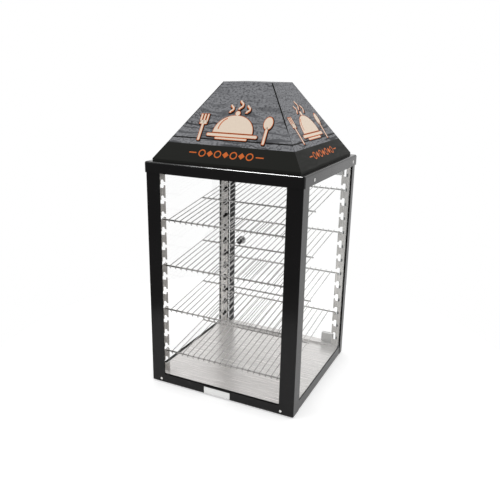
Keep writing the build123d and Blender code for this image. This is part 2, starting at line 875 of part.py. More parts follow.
z_bulb = z_ceiling_top + lens_thickness + bulb_lift
x_holder = -bulb_length / 2 - holder_length
with BuildPart() as lamp_holder:
    with BuildSketch(Plane.YZ.offset(x_holder)):
        with Locations((y_lamp, z_bulb)):
            Circle(holder_radius)
    extrude(amount=holder_length)
    with BuildSketch(Plane.YZ.offset(x_holder)):
        with Locations((y_lamp, (z_ceiling_top + z_bulb) / 2)):
            Rectangle(holder_leg_width, z_bulb - z_ceiling_top)
    extrude(amount=holder_sheet)
    with BuildSketch(Plane.XY.offset(z_ceiling_top)):
        with Locations((x_holder + holder_sheet - holder_foot / 2, y_lamp)):
            Rectangle(holder_foot, holder_leg_width)
    extrude(amount=holder_sheet)
save(lamp_holder, "lamp_holder")

bulb_start = x_holder + holder_length
with BuildPart() as lamp_bulb:
    with BuildSketch(Plane.YZ.offset(bulb_start)):
        with Locations((y_lamp, z_bulb)):
            Circle(bulb_radius)
    extrude(amount=bulb_length)
    chamfer(lamp_bulb.faces().sort_by(Axis.X)[-1].edges(), bulb_edge)
save(lamp_bulb, "lamp_bulb")

y_block = y_mid + element_rear
x_block = -element_half_width - block_gap - block_width / 2
with BuildPart() as terminal_block:
    with BuildSketch(Plane.XY.offset(z_ceiling_top)):
        with Locations((x_block, y_block)):
            Rectangle(block_width, block_length)
    extrude(amount=block_base_height)
    with BuildSketch(Plane.XY.offset(z_ceiling_top)):
        with Locations((x_block, y_block)):
            with GridLocations(1, block_length / 4, 1, 4):
                Rectangle(block_width - 2 * block_step, block_length / 4 - block_step)
    extrude(amount=block_height)
save(terminal_block, "terminal_block")

# Rear door: a glass pane on two pivots at the right-hand post
z_door_low = z_sill + door_clear
z_door_high = z_base + top_rail_bottom - door_clear
x_door_left = -half_width + post_leg + door_side_gap
x_pivot = half_width - pivot_inset
x_door_right = x_pivot + door_edge_reach
y_door_out = y_rear - door_inset
y_door_in = y_door_out - glass_thickness
y_pivot = (y_door_out + y_door_in) / 2
x_clamp = x_pivot - clamp_length + clamp_thickness / 2
x_knob = -half_width + door_knob_inset
z_knob = z_base + door_knob_rise

with BuildPart() as door_glass:
    with BuildSketch(Plane.XZ.offset(-y_door_in)):
        with Locations(((x_door_left + channel_wall + x_door_right) / 2, (z_door_low + z_door_high) / 2)):
            Rectangle(x_door_right - x_door_left - channel_wall, z_door_high - z_door_low)
        for z_corner in (z_door_low, z_door_high):
            with Locations((x_door_right, z_corner)):
                Rectangle(2 * glass_notch, 2 * glass_notch, mode=Mode.SUBTRACT)
        with Locations((x_knob, z_knob)):
            Circle(stud_hole_radius, mode=Mode.SUBTRACT)
    extrude(amount=-glass_thickness)
save(door_glass, "door_glass")

with BuildPart() as door_edge_channel:
    with BuildSketch(Plane.XY.offset(z_door_low)):
        with BuildLine():
            channel_path = Polyline(
                (x_door_left + channel_width, y_door_in - channel_wall),
                (x_door_left, y_door_in - channel_wall),
                (x_door_left, y_door_out + channel_wall),
                (x_door_left + channel_width, y_door_out + channel_wall),
            )
            offset(channel_path, amount=channel_wall, side=Side.RIGHT, closed=True)
        make_face()
    extrude(amount=z_door_high - z_door_low)
save(door_edge_channel, "door_edge_channel")


def pivot_clamp(low):
    """A clamp round the glass corner, round about the pivot and bored for its pin."""
    z_near = z_door_low if low else z_door_high - clamp_height
    z_bore = z_door_low if low else z_door_high - pivot_length
    with BuildPart() as clamp:
        with BuildSketch(Plane.XY.offset(z_near)):
            with Locations((x_pivot, y_pivot)):
                Circle(clamp_thickness / 2)
            with Locations(((x_clamp + x_pivot) / 2, y_pivot)):
                Rectangle(x_pivot - x_clamp, clamp_thickness)
        extrude(amount=clamp_height)
        with BuildSketch(Plane.XZ.offset(-y_door_in)):
            with Locations(((x_clamp + x_door_right) / 2, (z_door_low + z_door_high) / 2)):
                Rectangle(x_door_right - x_clamp, z_door_high - z_door_low)
            with Locations((x_door_right, z_door_low if low else z_door_high)):
                Rectangle(2 * glass_notch, 2 * glass_notch, mode=Mode.SUBTRACT)
        extrude(amount=-glass_thickness, mode=Mode.SUBTRACT)
        with BuildSketch(Plane.XY.offset(z_bore)):
            with Locations((x_pivot, y_pivot)):
                Circle(pivot_radius + shaft_clearance)
        extrude(amount=pivot_length, mode=Mode.SUBTRACT)
    return clamp


save(pivot_clamp(True), "door_clamp_lower")
save(pivot_clamp(False), "door_clamp_upper")

# Door knob: turned, with a stud through the glass and a washer behind it
y_knob_end = y_door_out + door_knob_length
y_stud_end = y_door_in - washer_thickness - stud_proud
with BuildPart() as door_knob:
    with BuildSketch(Plane.YZ.offset(x_knob)):
        with BuildLine():
            Polyline(
                (y_stud_end, z_knob),
                (y_stud_end, z_knob + stud_radius),
                (y_door_out, z_knob + stud_radius),
                (y_door_out, z_knob + knob_neck_radius),
                (y_door_out + knob_neck_length, z_knob + knob_neck_radius),
                (y_door_out + knob_head_start, z_knob + door_knob_radius),
                (y_knob_end - knob_rim, z_knob + door_knob_radius),
                (y_knob_end, z_knob + door_knob_radius - knob_rim),
                (y_knob_end, z_knob),
                close=True,
            )
        make_face()
    revolve(axis=Axis((x_knob, 0, z_knob), (0, 1, 0)))
save(door_knob, "door_knob")

with BuildPart() as door_knob_washer:
    with BuildSketch(Plane.XZ.offset(-y_door_in)):
        with Locations((x_knob, z_knob)):
            Circle(washer_radius)
            Circle(stud_radius + shaft_clearance, mode=Mode.SUBTRACT)
    extrude(amount=washer_thickness)
save(door_knob_washer, "door_knob_washer")


def pivot_bracket(low):
    """A plate on the sill or under the top rail with the pivot pin of the door."""
    z_plate_near = z_sill if low else z_base + top_rail_bottom
    toward = 1 if low else -1
    with BuildPart() as bracket:
        with BuildSketch(Plane.XY.offset(z_plate_near)):
            with Locations((x_pivot, y_pivot)):
                Circle(pivot_radius)
        extrude(amount=toward * (door_clear + pivot_length - pivot_end_gap))
        with BuildSketch(Plane.XY.offset(z_plate_near)):
            with Locations((x_pivot - bracket_length / 2 + bracket_overrun, y_pivot)):
                RectangleRounded(bracket_length, clamp_thickness, bracket_corner)
        extrude(amount=toward * (door_clear - seat_gap))
    return bracket


save(pivot_bracket(True), "hinge_bracket_lower")
save(pivot_bracket(False), "hinge_bracket_upper")

# Magnet catch behind the latch edge of the door
y_catch = y_door_in - channel_wall - seat_gap
door_catch = block(
    x_door_left + catch_inset,
    x_door_left + catch_inset + catch_width,
    y_rear - sheet - top_rail_depth + sheet,
    y_catch,
    z_base + top_rail_bottom - catch_height,
    z_base + top_rail_bottom,
)
save(door_catch, "door_catch")
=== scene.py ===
import math
import bpy
import bmesh
from mathutils import Matrix, Vector


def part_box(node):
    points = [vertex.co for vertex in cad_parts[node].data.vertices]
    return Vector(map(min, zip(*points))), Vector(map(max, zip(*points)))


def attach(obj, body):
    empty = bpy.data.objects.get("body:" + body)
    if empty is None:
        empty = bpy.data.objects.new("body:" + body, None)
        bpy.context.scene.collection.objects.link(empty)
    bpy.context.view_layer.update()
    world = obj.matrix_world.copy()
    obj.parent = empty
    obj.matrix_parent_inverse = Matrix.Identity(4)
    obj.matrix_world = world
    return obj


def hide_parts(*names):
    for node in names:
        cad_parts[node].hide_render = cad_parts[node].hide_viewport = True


bl_info = {
    "name": "Hot food merchandiser",
    "version": (1, 0, 0),
    "blender": (4, 5, 0),
    "location": "View3D > Sidebar > Merchandiser",
    "description": "Wire shelves, canopy print, fittings and finishes of a countertop food warmer",
    "category": "Object",
}

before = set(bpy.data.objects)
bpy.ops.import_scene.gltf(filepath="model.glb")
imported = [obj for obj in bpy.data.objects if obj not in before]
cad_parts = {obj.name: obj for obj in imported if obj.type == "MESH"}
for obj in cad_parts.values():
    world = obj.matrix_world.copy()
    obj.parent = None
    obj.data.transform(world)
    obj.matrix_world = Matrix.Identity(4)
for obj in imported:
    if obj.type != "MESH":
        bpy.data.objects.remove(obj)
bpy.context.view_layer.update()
MM = 0.001
quarter_turn = math.pi / 2


def colour_setting(name, description, default):
    return bpy.props.FloatVectorProperty(
        name=name, description=description, default=default, subtype="COLOR", size=3, min=0, max=1,
    )


def number_setting(name, description, default, **kind):
    return bpy.props.FloatProperty(name=name, description=description, default=default, **kind)


class FinishSettings(bpy.types.PropertyGroup):
    """Colours of the painted, plated and printed surfaces"""

    enamel: colour_setting("Enamel", "Black stove enamel of the frame and cap", (0.0048, 0.0044, 0.0046))
    steel: colour_setting("Steel", "Stainless steel of the floor and the sill", (0.715, 0.69, 0.675))
    strip_steel: colour_setting("Standards", "Mill steel of the notched standards", (0.60, 0.575, 0.55))
    wire: colour_setting("Wire", "Plating of the shelf wires", (0.46, 0.45, 0.44))
    plank_light: colour_setting("Plank", "Light grey of the printed planks", (0.225, 0.228, 0.240))
    plank_dark: colour_setting("Grain", "Dark grey of the printed grain", (0.036, 0.037, 0.041))
    band: colour_setting("Band", "Charcoal of the canopy's lowest band", (0.019, 0.0195, 0.0175))
    cream: colour_setting("Cream", "Cream of the printed motif", (0.78, 0.655, 0.535))
    orange: colour_setting(
        "Orange", "Orange of the outlines and of the band's motifs", (0.60, 0.140, 0.032),
    )


class ShelfSettings(bpy.types.PropertyGroup):
    """Sizes of a wire shelf"""

    rod_count: bpy.props.IntProperty(
        name="Rods", description="Fine rods of one shelf", default=21, min=2,
    )
    rod_diameter: number_setting("Rod", "Diameter of a fine rod", 2.8 * MM, unit="LENGTH")
    cross_diameter: number_setting("Cross wire", "Diameter of a cross wire", 4.8 * MM, unit="LENGTH")
    rod_inset: number_setting(
        "Rod inset", "From the cabinet's side to the outer rod", 47.5 * MM, unit="LENGTH",
    )
    curl_radius: number_setting(
        "Curl", "Radius of the rods' curl over the front wire", 4.2 * MM, unit="LENGTH",
    )
    rise: number_setting("Rise", "Height of the rear wire over the front wire", 59.67 * MM, unit="LENGTH")
    curl_low: number_setting(
        "Curl end", "From the front wire's middle down to the CAD shelf's lowest point",
        4.47 * MM, unit="LENGTH",
    )


class StudioSettings(bpy.types.PropertyGroup):
    """Camera and lights"""

    lens: number_setting("Lens", "Focal length on a 36 mm wide sensor", 41.756)
    turn: number_setting(
        "Turn", "The camera's turn about the vertical", math.radians(25.336), subtype="ANGLE",
    )
    dip: number_setting("Dip", "The camera's look downwards", math.radians(17.334), subtype="ANGLE")
    roll: number_setting("Roll", "The camera's roll about its view", math.radians(1.111), subtype="ANGLE")
    place: bpy.props.FloatVectorProperty(
        name="Place", description="Where the camera stands", subtype="XYZ", size=3,
        default=(0.70156, -1.52215, 0.90907),
    )
    key_power: number_setting("Key", "Power of the large light at the upper left, in watts", 12)
    side_power: number_setting("Side", "Power of the tall light at the right, in watts", 9)
    strip_power: number_setting("Strip", "Power of the narrow light over the cap's bend, in watts", 220)
    fill_power: number_setting("Fill", "Power of the light on the front standards, in watts", 30)
    surround: number_setting("Surround", "Light of the white surround on matt surfaces", 0.85)
    gloss_front: number_setting(
        "Dark side", "The surround in front of the cabinet, as polish mirrors it", 0.30,
    )
    gloss_rear: number_setting("Bright side", "The surround behind the cabinet, as polish mirrors it", 1.2)


def settings(name):
    return getattr(bpy.context.scene, "merchandiser_" + name)


# Materials: each one is a principled shader with its own pattern nodes


def add_node(tree, kind, values=None, **options):
    """A node with its options set, and each of its sockets given a value or wired to another."""
    made = tree.nodes.new(kind)
    for option, value in options.items():
        setattr(made, option, value)
    for socket, value in (values or {}).items():
        if isinstance(value, bpy.types.NodeSocket):
            tree.links.new(value, made.inputs[socket])
        else:
            made.inputs[socket].default_value = value
    return made


class Finish:
    """A material in the making, with its shader and short ways to add and wire nodes."""

    def __init__(self, name, values):
        self.material = bpy.data.materials.new(name)
        self.material.use_nodes = True
        self.tree = self.material.node_tree
        self.shader = self.tree.nodes["Principled BSDF"]
        for socket, value in values.items():
            self.shader.inputs[socket].default_value = value

    def node(self, kind, values=None, **options):
        return add_node(self.tree, kind, values, **options)

    def math(self, operation, first, second=0.0, clamp=False):
        made = self.node("ShaderNodeMath", {0: first, 1: second}, operation=operation, use_clamp=clamp)
        return made.outputs[0]

    def plus(self, first, second):
        return self.math("ADD", first, second)

    def minus(self, first, second):
        return self.math("SUBTRACT", first, second)

    def times(self, first, second):
        return self.math("MULTIPLY", first, second)

    def split(self, vector):
        """The X, Y and Z of a vector."""
        made = self.node("ShaderNodeSeparateXYZ", {0: vector})
        return made.outputs["X"], made.outputs["Y"], made.outputs["Z"]

    def place(self, scale=(1, 1, 1)):
        """The piece's own coordinates in metres, stretched by scale."""
        coordinates = self.node("ShaderNodeTexCoord")
        mapping = self.node("ShaderNodeMapping", {"Vector": coordinates.outputs["Object"], "Scale": scale})
        return mapping.outputs["Vector"]

    def noise(self, vector, scale=1.0, detail=2.0, roughness=0.55):
        made = self.node(
            "ShaderNodeTexNoise",
            {"Vector": vector, "Scale": scale, "Detail": detail, "Roughness": roughness},
        )
        return made.outputs["Fac"]

    def ramp(self, factor, low, high, low_at=0.0, high_at=1.0):
        """A value that goes from low to high while the factor goes from low_at to high_at."""
        made = self.node("ShaderNodeMapRange", {
            "Value": factor, "From Min": low_at, "From Max": high_at, "To Min": low, "To Max": high,
        })
        return made.outputs["Result"]

    def vary(self, noise, low, high):
        """A value that follows a noise, which keeps mostly between 0.3 and 0.7."""
        return self.ramp(noise, low, high, 0.3, 0.7)

    def mix(self, factor, first, second):
        """A mix of two colours, which are sockets 6 and 7 and output 2 of the node."""
        made = self.node("ShaderNodeMix", {0: factor, 6: first, 7: second}, data_type="RGBA")
        return made.outputs[2]

    def wire(self, socket, source):
        self.tree.links.new(source, self.shader.inputs[socket])

    def bump(self, height, strength, distance):
        made = self.node("ShaderNodeBump", {"Height": height, "Strength": strength, "Distance": distance})
        self.wire("Normal", made.outputs["Normal"])


def colour(values, shade=1.0):
    return (values[0] * shade, values[1] * shade, values[2] * shade, 1.0)


def enamel_finish():
    """Black enamel with slow clouds in its polish and a fine orange peel."""
    base = settings("finish").enamel
    finish = Finish("black enamel", {"Specular IOR Level": 0.21})
    cloud = finish.noise(finish.place(), 9.0, 3.0)
    finish.wire("Base Color", finish.mix(cloud, colour(base, 0.85), colour(base, 1.2)))
    finish.wire("Roughness", finish.vary(cloud, 0.16, 0.24))
    peel = finish.noise(finish.place(), 650.0)
    finish.bump(peel, 0.06, 0.4 * MM)
    return finish.material


def brushed_finish(name, base, streak_scale, rough, cloudiness, metallic=1.0):
    """Sheet steel with fine streaks along the axis of least scale, faint clouds and a soft sheen."""
    finish = Finish(name, {"Metallic": metallic})
    streak = finish.noise(finish.place(streak_scale), 1.0, 5.0, 0.6)
    cloud = finish.noise(finish.place(), 7.0, 3.0)
    tone = finish.mix(finish.vary(streak, 0.0, 1.0), colour(base, 1 - cloudiness), colour(base, 1.04))
    shade = finish.ramp(cloud, 0.0, cloudiness * 4, 0.4, 0.7)
    finish.wire("Base Color", finish.mix(shade, tone, colour(base, 0.8)))
    finish.wire("Roughness", finish.vary(streak, rough - 0.04, rough + 0.05))
    finish.bump(streak, 0.06, 0.1 * MM)
    return finish.material


def plated_finish(name, base, rough, metallic=1.0):
    """Bright plating with a slightly uneven polish."""
    finish = Finish(name, {"Metallic": metallic})
    cloud = finish.noise(finish.place(), 120.0, 3.0)
    finish.wire("Base Color", finish.mix(cloud, colour(base, 0.88), colour(base, 1.1)))
    finish.wire("Roughness", finish.vary(cloud, rough * 0.8, rough * 1.4))
    return finish.material


glass_cover = 0.55


def glass_finish():
    """Clear sheet glass: a mirror whose cover follows the angle, and nothing else."""
    finish = Finish("clear glass", {"Metallic": 1.0, "Base Color": (0.93, 0.97, 0.95, 1.0)})
    sheen = finish.node("ShaderNodeFresnel", {"IOR": 1.45})
    smear = finish.noise(finish.place(), 6.0)
    finish.wire("Roughness", finish.vary(smear, 0.01, 0.035))
    outside = finish.minus(1.0, finish.node("ShaderNodeNewGeometry").outputs["Backfacing"])
    cover = finish.times(sheen.outputs["Fac"], outside)
    finish.wire("Alpha", finish.math("MULTIPLY", cover, glass_cover, clamp=True))
    return finish.material


def moulded_finish(name, base, rough):
    """Moulded plastic or rubber with a fine even grain."""
    finish = Finish(name, {"Specular IOR Level": 0.45})
    grain = finish.noise(finish.place(), 900.0)
    cloud = finish.noise(finish.place(), 25.0)
    finish.wire("Base Color", finish.mix(cloud, colour(base, 0.85), colour(base, 1.15)))
    finish.wire("Roughness", finish.vary(grain, rough - 0.08, rough + 0.08))
    finish.bump(grain, 0.15, 0.2 * MM)
    return finish.material


def ink_finish(name, base):
    """Printed ink with a faint mottle."""
    finish = Finish(name, {"Specular IOR Level": 0.06})
    mottle = finish.noise(finish.place(), 260.0, 3.0)
    finish.wire("Base Color", finish.mix(mottle, colour(base, 0.93), colour(base)))
    finish.wire("Roughness", finish.vary(mottle, 0.41, 0.49))
    return finish.material


def bulb_finish():
    """Pearled glass that lets light through."""
    finish = Finish("bulb glass", {"Transmission Weight": 0.6, "Base Color": (1.0, 0.96, 0.88, 1.0)})
    cloud = finish.noise(finish.place(), 60.0)
    finish.wire("Roughness", finish.vary(cloud, 0.15, 0.3))
    return finish.material


# The canopy's print: heights are shares of the slopes' rise
canopy_lip = 7 * MM
canopy_top = (145 * MM, 140 * MM)
band_share = 0.215
lowest_joint_share = 0.287
plank_share = 0.235
joint_width = 1.7 * MM
hip_widths = (0.5 * MM, 2.7 * MM)
plank_shift = 0.37
drift_height = 35 * MM


def canopy_slopes():
    """Z of the slopes' lower edge, and how far they rise over it."""
    low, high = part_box("canopy")
    z_slope = low.z + canopy_lip
    return z_slope, high.z - z_slope


def plank_joints(finish, share, rise):
    """The number of the plank at a height, and the dark joints, which fade out on the upper slope."""
    step = finish.math("DIVIDE", finish.minus(share, lowest_joint_share), plank_share)
    nearest = finish.math("ABSOLUTE", finish.minus(step, finish.math("ROUND", step)))
    joint = finish.math("LESS_THAN", nearest, joint_width / (rise * plank_share))
    return finish.math("FLOOR", step), finish.times(joint, finish.ramp(share, 0.95, 0.0, 0.4, 0.5))


def plank_wood(finish, plank, along, across, z, sideways, share):
    """Grey wood: bold grain that drifts up and down, fine speckle and slow changes of tone."""
    colours = settings("finish")
    shifted = finish.plus(along, finish.times(plank, plank_shift))

    def stretched(along_scale, height, height_scale, detail, roughness=0.55):
        spot = finish.node("ShaderNodeCombineXYZ", {
            0: finish.times(shifted, along_scale), 1: finish.times(height, height_scale), 2: sideways,
        })
        return finish.noise(spot.outputs[0], 1.0, detail, roughness)

    drift = stretched(11.0, z, 16.0, 2.0)
    climb = finish.plus(across, finish.times(drift, drift_height))
    grain = stretched(7.0, climb, 125.0, 3.0, 0.45)
    speckle = stretched(135.0, climb, 290.0, 2.0)
    tone = finish.noise(finish.place((5, 5, 22)))
    bold = finish.ramp(share, 0.95, 0.3, 0.5, 0.75)
    dark = finish.math("MULTIPLY", finish.ramp(grain, 1.0, 0.0, 0.42, 0.48), bold, clamp=True)
    wood = finish.mix(dark, colour(colours.plank_light), colour(colours.plank_dark))
    wood = finish.mix(finish.ramp(speckle, 0.0, 0.9, 0.46, 0.64), wood, colour(colours.plank_dark, 1.25))
    wood = finish.mix(finish.ramp(tone, 0.0, 0.3, 0.4, 0.65), wood, colour(colours.plank_light, 1.2))
    return wood, grain


def canopy_hips(finish, x, y, share):
    """The dark lines along the hips, on whichever face, wider on the upper slope."""
    low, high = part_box("canopy")
    middle = (low + high) / 2
    gaps = []
    for place, centre, foot, top in (
        (x, 0.0, high.x - low.x, canopy_top[0]), (y, middle.y, high.y - low.y, canopy_top[1]),
    ):
        reach = finish.ramp(share, foot / 2, top / 2)
        gaps.append(finish.minus(reach, finish.math("ABSOLUTE", finish.minus(place, centre))))
    from_hip = finish.math("MAXIMUM", *gaps)
    return finish.math("LESS_THAN", from_hip, finish.ramp(share, *hip_widths, 0.40, 0.52))


def canopy_finish():
    """Printed grey planks over a charcoal band, with dark joints and dark hips."""
    band = settings("finish").band
    finish = Finish("printed canopy", {"Specular IOR Level": 0.03})
    coordinates = finish.node("ShaderNodeTexCoord")
    x, y, z = finish.split(coordinates.outputs["Object"])
    x_facing, y_facing, z_facing = finish.split(coordinates.outputs["Normal"])
    sideways = finish.math(
        "GREATER_THAN", finish.math("ABSOLUTE", x_facing), finish.math("ABSOLUTE", y_facing)
    )
    level = finish.math("GREATER_THAN", z_facing, 0.9)
    # along the planks is Y on the sides, and X elsewhere
    along = finish.plus(x, finish.times(finish.minus(y, x), sideways))
    # across them is Z, and on the level top they lie beside each other in Y
    across = finish.plus(z, finish.times(y, level))
    z_slope, rise = canopy_slopes()
    share = finish.math("DIVIDE", finish.minus(z, z_slope), rise)
    plank, joint = plank_joints(finish, share, rise)
    wood, grain = plank_wood(finish, plank, along, across, z, sideways, share)
    wood = finish.mix(joint, wood, colour(band, 0.35))
    wood = finish.mix(canopy_hips(finish, x, y, share), wood, colour(band, 0.3))
    banded = finish.math("LESS_THAN", share, band_share)
    finish.wire("Base Color", finish.mix(banded, wood, colour(band)))
    finish.wire("Roughness", finish.vary(grain, 0.42, 0.55))
    finish.bump(finish.times(grain, finish.minus(1.0, banded)), 0.15, 0.3 * MM)
    return finish.material


finishes = {}


def make_finishes():
    """Every finish; a brushed one has its streaks' scale, roughness, cloudiness and metal share."""
    colours = settings("finish")
    finishes.update(
        enamel=enamel_finish(),
        steel=brushed_finish("stainless floor", colours.steel, (9, 520, 520), 0.25, 0.03, 0.4),
        strip=brushed_finish("mill steel strip", colours.strip_steel, (420, 420, 20), 0.26, 0.08, 0.45),
        wire=plated_finish("plated wire", colours.wire, 0.14, 0.95),
        screw=plated_finish("plated screw", (0.86, 0.85, 0.83), 0.25),
        plate=brushed_finish("plain silver plate", (0.80, 0.80, 0.79), (8, 400, 400), 0.35, 0.08),
        glass=glass_finish(),
        canopy=canopy_finish(),
        cream=ink_finish("cream ink", colours.cream),
        orange=ink_finish("orange ink", colours.orange),
        shadow=ink_finish("dark ink", (0.012, 0.010, 0.010)),
        rubber=moulded_finish("black rubber", (0.02, 0.02, 0.02), 0.65),
        plastic=moulded_finish("black plastic", (0.025, 0.025, 0.026), 0.35),
        red=moulded_finish("red plastic", (0.5, 0.02, 0.015), 0.3),
        ceramic=moulded_finish("cream ceramic", (0.78, 0.72, 0.60), 0.5),
        motor=moulded_finish("motor paint", (0.09, 0.10, 0.11), 0.5),
        blades=brushed_finish("spun aluminium", (0.8, 0.8, 0.8), (90, 90, 90), 0.35, 0.1),
        galvanised=brushed_finish("galvanised sheet", (0.55, 0.56, 0.57), (40, 40, 40), 0.4, 0.10),
        knob=plated_finish("dark turned metal", (0.30, 0.30, 0.30), 0.28),
        bulb=bulb_finish(),
        legend=ink_finish("white ink", (0.85, 0.85, 0.85)),
    )


node_finishes = {
    "enamel": (
        "base_pan", "front_frame", "rear_left_post", "rear_right_post", "rear_top_rail", "top_cap",
        "control_panel",
    ),
    "steel": ("floor_deck", "rear_sill"),
    "strip": ("standard_front_left", "standard_front_right", "standard_rear_left", "standard_rear_right"),
    "galvanised": ("ceiling_pan", "fan_bridge", "element_bracket"),
    "glass": ("front_glass", "left_glass", "right_glass", "door_glass", "lamp_lens"),
    "canopy": ("canopy",),
    "rubber": ("rubber_feet", "cord_gland", "door_knob_washer"),
    "plastic": (
        "door_edge_channel", "door_catch", "thermostat_body", "thermostat_dial", "heat_switch_body",
        "light_switch_body",
    ),
    "screw": ("hinge_bracket_lower", "hinge_bracket_upper"),
    "plate": ("door_clamp_lower", "door_clamp_upper"),
    "red": ("heat_switch_rocker", "light_switch_rocker", "pilot_lamp"),
    "ceramic": ("terminal_block", "lamp_holder"),
    "motor": ("fan_motor",),
    "blades": ("fan_blades",),
    "knob": ("heating_element", "door_knob"),
    "bulb": ("lamp_bulb",),
    "wire": ("wire_shelf_1", "wire_shelf_2", "wire_shelf_3", "wire_shelf_4"),
}


class MERCHANDISER_OT_finishes(bpy.types.Operator):
    """Makes the finishes and puts one on every CAD node"""

    bl_idname = "merchandiser.finishes"
    bl_label = "Finishes"

    def execute(self, context):
        bare = set(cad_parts).difference(*node_finishes.values())
        if bare:
            raise RuntimeError("no finish is given for " + ", ".join(sorted(bare)))
        make_finishes()
        for finish, names in node_finishes.items():
            for name in names:
                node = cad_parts[name]
                if not node.material_slots:
                    node.data.materials.append(finishes[finish])
                for slot in node.material_slots:
                    slot.material = finishes[finish]
        return {"FINISHED"}


# Modelling by hand: short words for the edit mode tools


def start():
    """Object mode with nothing selected."""
    if bpy.context.mode != "OBJECT":
        bpy.ops.object.mode_set(mode="OBJECT")
    bpy.ops.object.select_all(action="DESELECT")


def pick(piece):
    """Object mode with this piece alone selected and active."""
    start()
    piece.select_set(True)
    bpy.context.view_layer.objects.active = piece


def edit(piece):
    pick(piece)
    bpy.ops.object.mode_set(mode="EDIT")


def select(piece, kind, test):
    """In edit mode, selects the faces or the edges that pass a test."""
    bpy.ops.mesh.select_mode(type=kind)
    bpy.ops.mesh.select_all(action="DESELECT")
    mesh = bmesh.from_edit_mesh(piece.data)
    for part in mesh.faces if kind == "FACE" else mesh.edges:
        part.select_set(test(part))
    mesh.select_flush_mode()
    bmesh.update_edit_mesh(piece.data)


def push(move):
    bpy.ops.mesh.extrude_region_move(TRANSFORM_OT_translate={"value": tuple(move)})


def swing(angle, axis, centre, steps):
    """Spins what is selected; with no window the tool turns the other way, hence the minus."""
    bpy.ops.mesh.spin(steps=steps, angle=-angle, axis=axis, center=centre)


def widen(shares, centre):
    bpy.ops.transform.resize(value=shares, center_override=centre)


def apply_modifier(piece, kind, **options):
    pick(piece)
    modifier = piece.modifiers.new(kind.lower(), kind)
    for option, value in options.items():
        setattr(modifier, option, value)
    bpy.ops.object.modifier_apply(modifier=modifier.name)


def join(pieces, name):
    pick(pieces[0])
    for piece in pieces:
        piece.select_set(True)
    if len(pieces) > 1:
        bpy.ops.object.join()
    pieces[0].name = name
    pieces[0].data.name = name
    return pieces[0]


def settle(piece, place=None):
    """Puts the piece at its place and bakes that place into its mesh."""
    pick(piece)
    if place is not None:
        piece.matrix_world = place @ piece.matrix_world
    bpy.ops.object.transform_apply(location=True, rotation=True, scale=True)


def tidy_mesh(piece, angle=35):
    """Merged doubles, normals outward and smooth faces up to a crease angle."""
    edit(piece)
    bpy.ops.mesh.select_all(action="SELECT")
    bpy.ops.mesh.remove_doubles(threshold=0.005 * MM)
    bpy.ops.mesh.normals_make_consistent(inside=False)
    pick(piece)
    bpy.ops.object.shade_smooth_by_angle(angle=math.radians(angle))


def copy_of(piece, name):
    """A copy with its own mesh."""
    twin = piece.copy()
    twin.data = piece.data.copy()
    twin.name = name
    twin.data.name = name
    bpy.context.scene.collection.objects.link(twin)
    return twin


def seat(piece, finish, body, slot, *nodes):
    """Gives a finished piece its finish and its body, and hides the nodes that it replaces; the slot is not
    used.
    """
    piece.data.materials.clear()
    piece.data.materials.append(finishes[finish])
    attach(piece, body)
    if nodes:
        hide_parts(*nodes)


def add(primitive, scale=(1, 1, 1), **options):
    """Adds a primitive, scales it and bakes its place into its mesh."""
    start()
    primitive(**options)
    piece = bpy.context.object
    piece.scale = scale
    settle(piece)
    return piece


def round_start(radius, sides, place, rotation=(0, 0, 0)):
    """A filled circle, selected in edit mode, to be pushed out into a round piece."""
    piece = add(
        bpy.ops.mesh.primitive_circle_add, vertices=sides, radius=radius, fill_type="NGON",
        location=place, rotation=rotation,
    )
    edit(piece)
    bpy.ops.mesh.select_mode(type="FACE")
    bpy.ops.mesh.select_all(action="SELECT")
    return piece


def turned(name, stations, sides):
    """A turned piece along +Z from rings of (height, radius), closed at both ends."""
    height, radius = stations[0]
    piece = round_start(radius, sides, (0, 0, height))
    piece.name = name
    for next_height, next_radius in stations[1:]:
        push((0, 0, next_height - height))
        share = next_radius / radius
        widen((share, share, 1), (0, 0, next_height))
        height, radius = next_height, next_radius
    tidy_mesh(piece)
    return piece


def placed(point, x_axis, y_axis, z_axis):
    """The placement at a point with these axes."""
    turn = Matrix((x_axis, y_axis, z_axis)).transposed().to_4x4()
    return Matrix.Translation(point) @ turn


def facing(point, outward):
    """A placement whose Z looks outward from the point, with its X level."""
    z_axis = Vector(outward)
    x_axis = Vector((0, 0, 1)).cross(z_axis)
    return placed(point, x_axis, z_axis.cross(x_axis), z_axis)


# Wire shelves

rod_overrun = 5.5 * MM
rod_sink = 0.25 * MM
rod_sides = 10
curl_from = -0.6 * MM
curl_turn = math.radians(158)
curl_steps = 10
cross_sides = 14
cross_end_inset = 22 * MM
cross_bend = 3.6 * MM
bend_steps = 6
cross_stub = 8 * MM
end_bevel = 0.6 * MM
end_share = 0.75
middle_cross_overrun = 3.5 * MM
middle_cross_share = 0.49
strip_thickness = 1.5 * MM
wire_stand_off = 0.7 * MM
same_place = 0.01 * MM


def shelf_rods(sizes, span, half_row):
    """The row of fine rods, each curled down over the front wire, front wire at the origin."""
    lift = (sizes.cross_diameter + sizes.rod_diameter) / 2 - rod_sink
    y_rear = span + rod_overrun
    rod = round_start(
        sizes.rod_diameter / 2, rod_sides, (-half_row, y_rear, lift), (quarter_turn, 0, 0)
    )
    push((0, curl_from - y_rear, 0))
    swing(curl_turn, (1, 0, 0), (-half_row, curl_from, lift - sizes.curl_radius), curl_steps)
    pitch = 2 * half_row / (sizes.rod_count - 1)
    apply_modifier(
        rod, "ARRAY", count=sizes.rod_count, use_relative_offset=False,
        use_constant_offset=True, constant_offset_displace=(pitch, 0, 0),
    )
    return rod


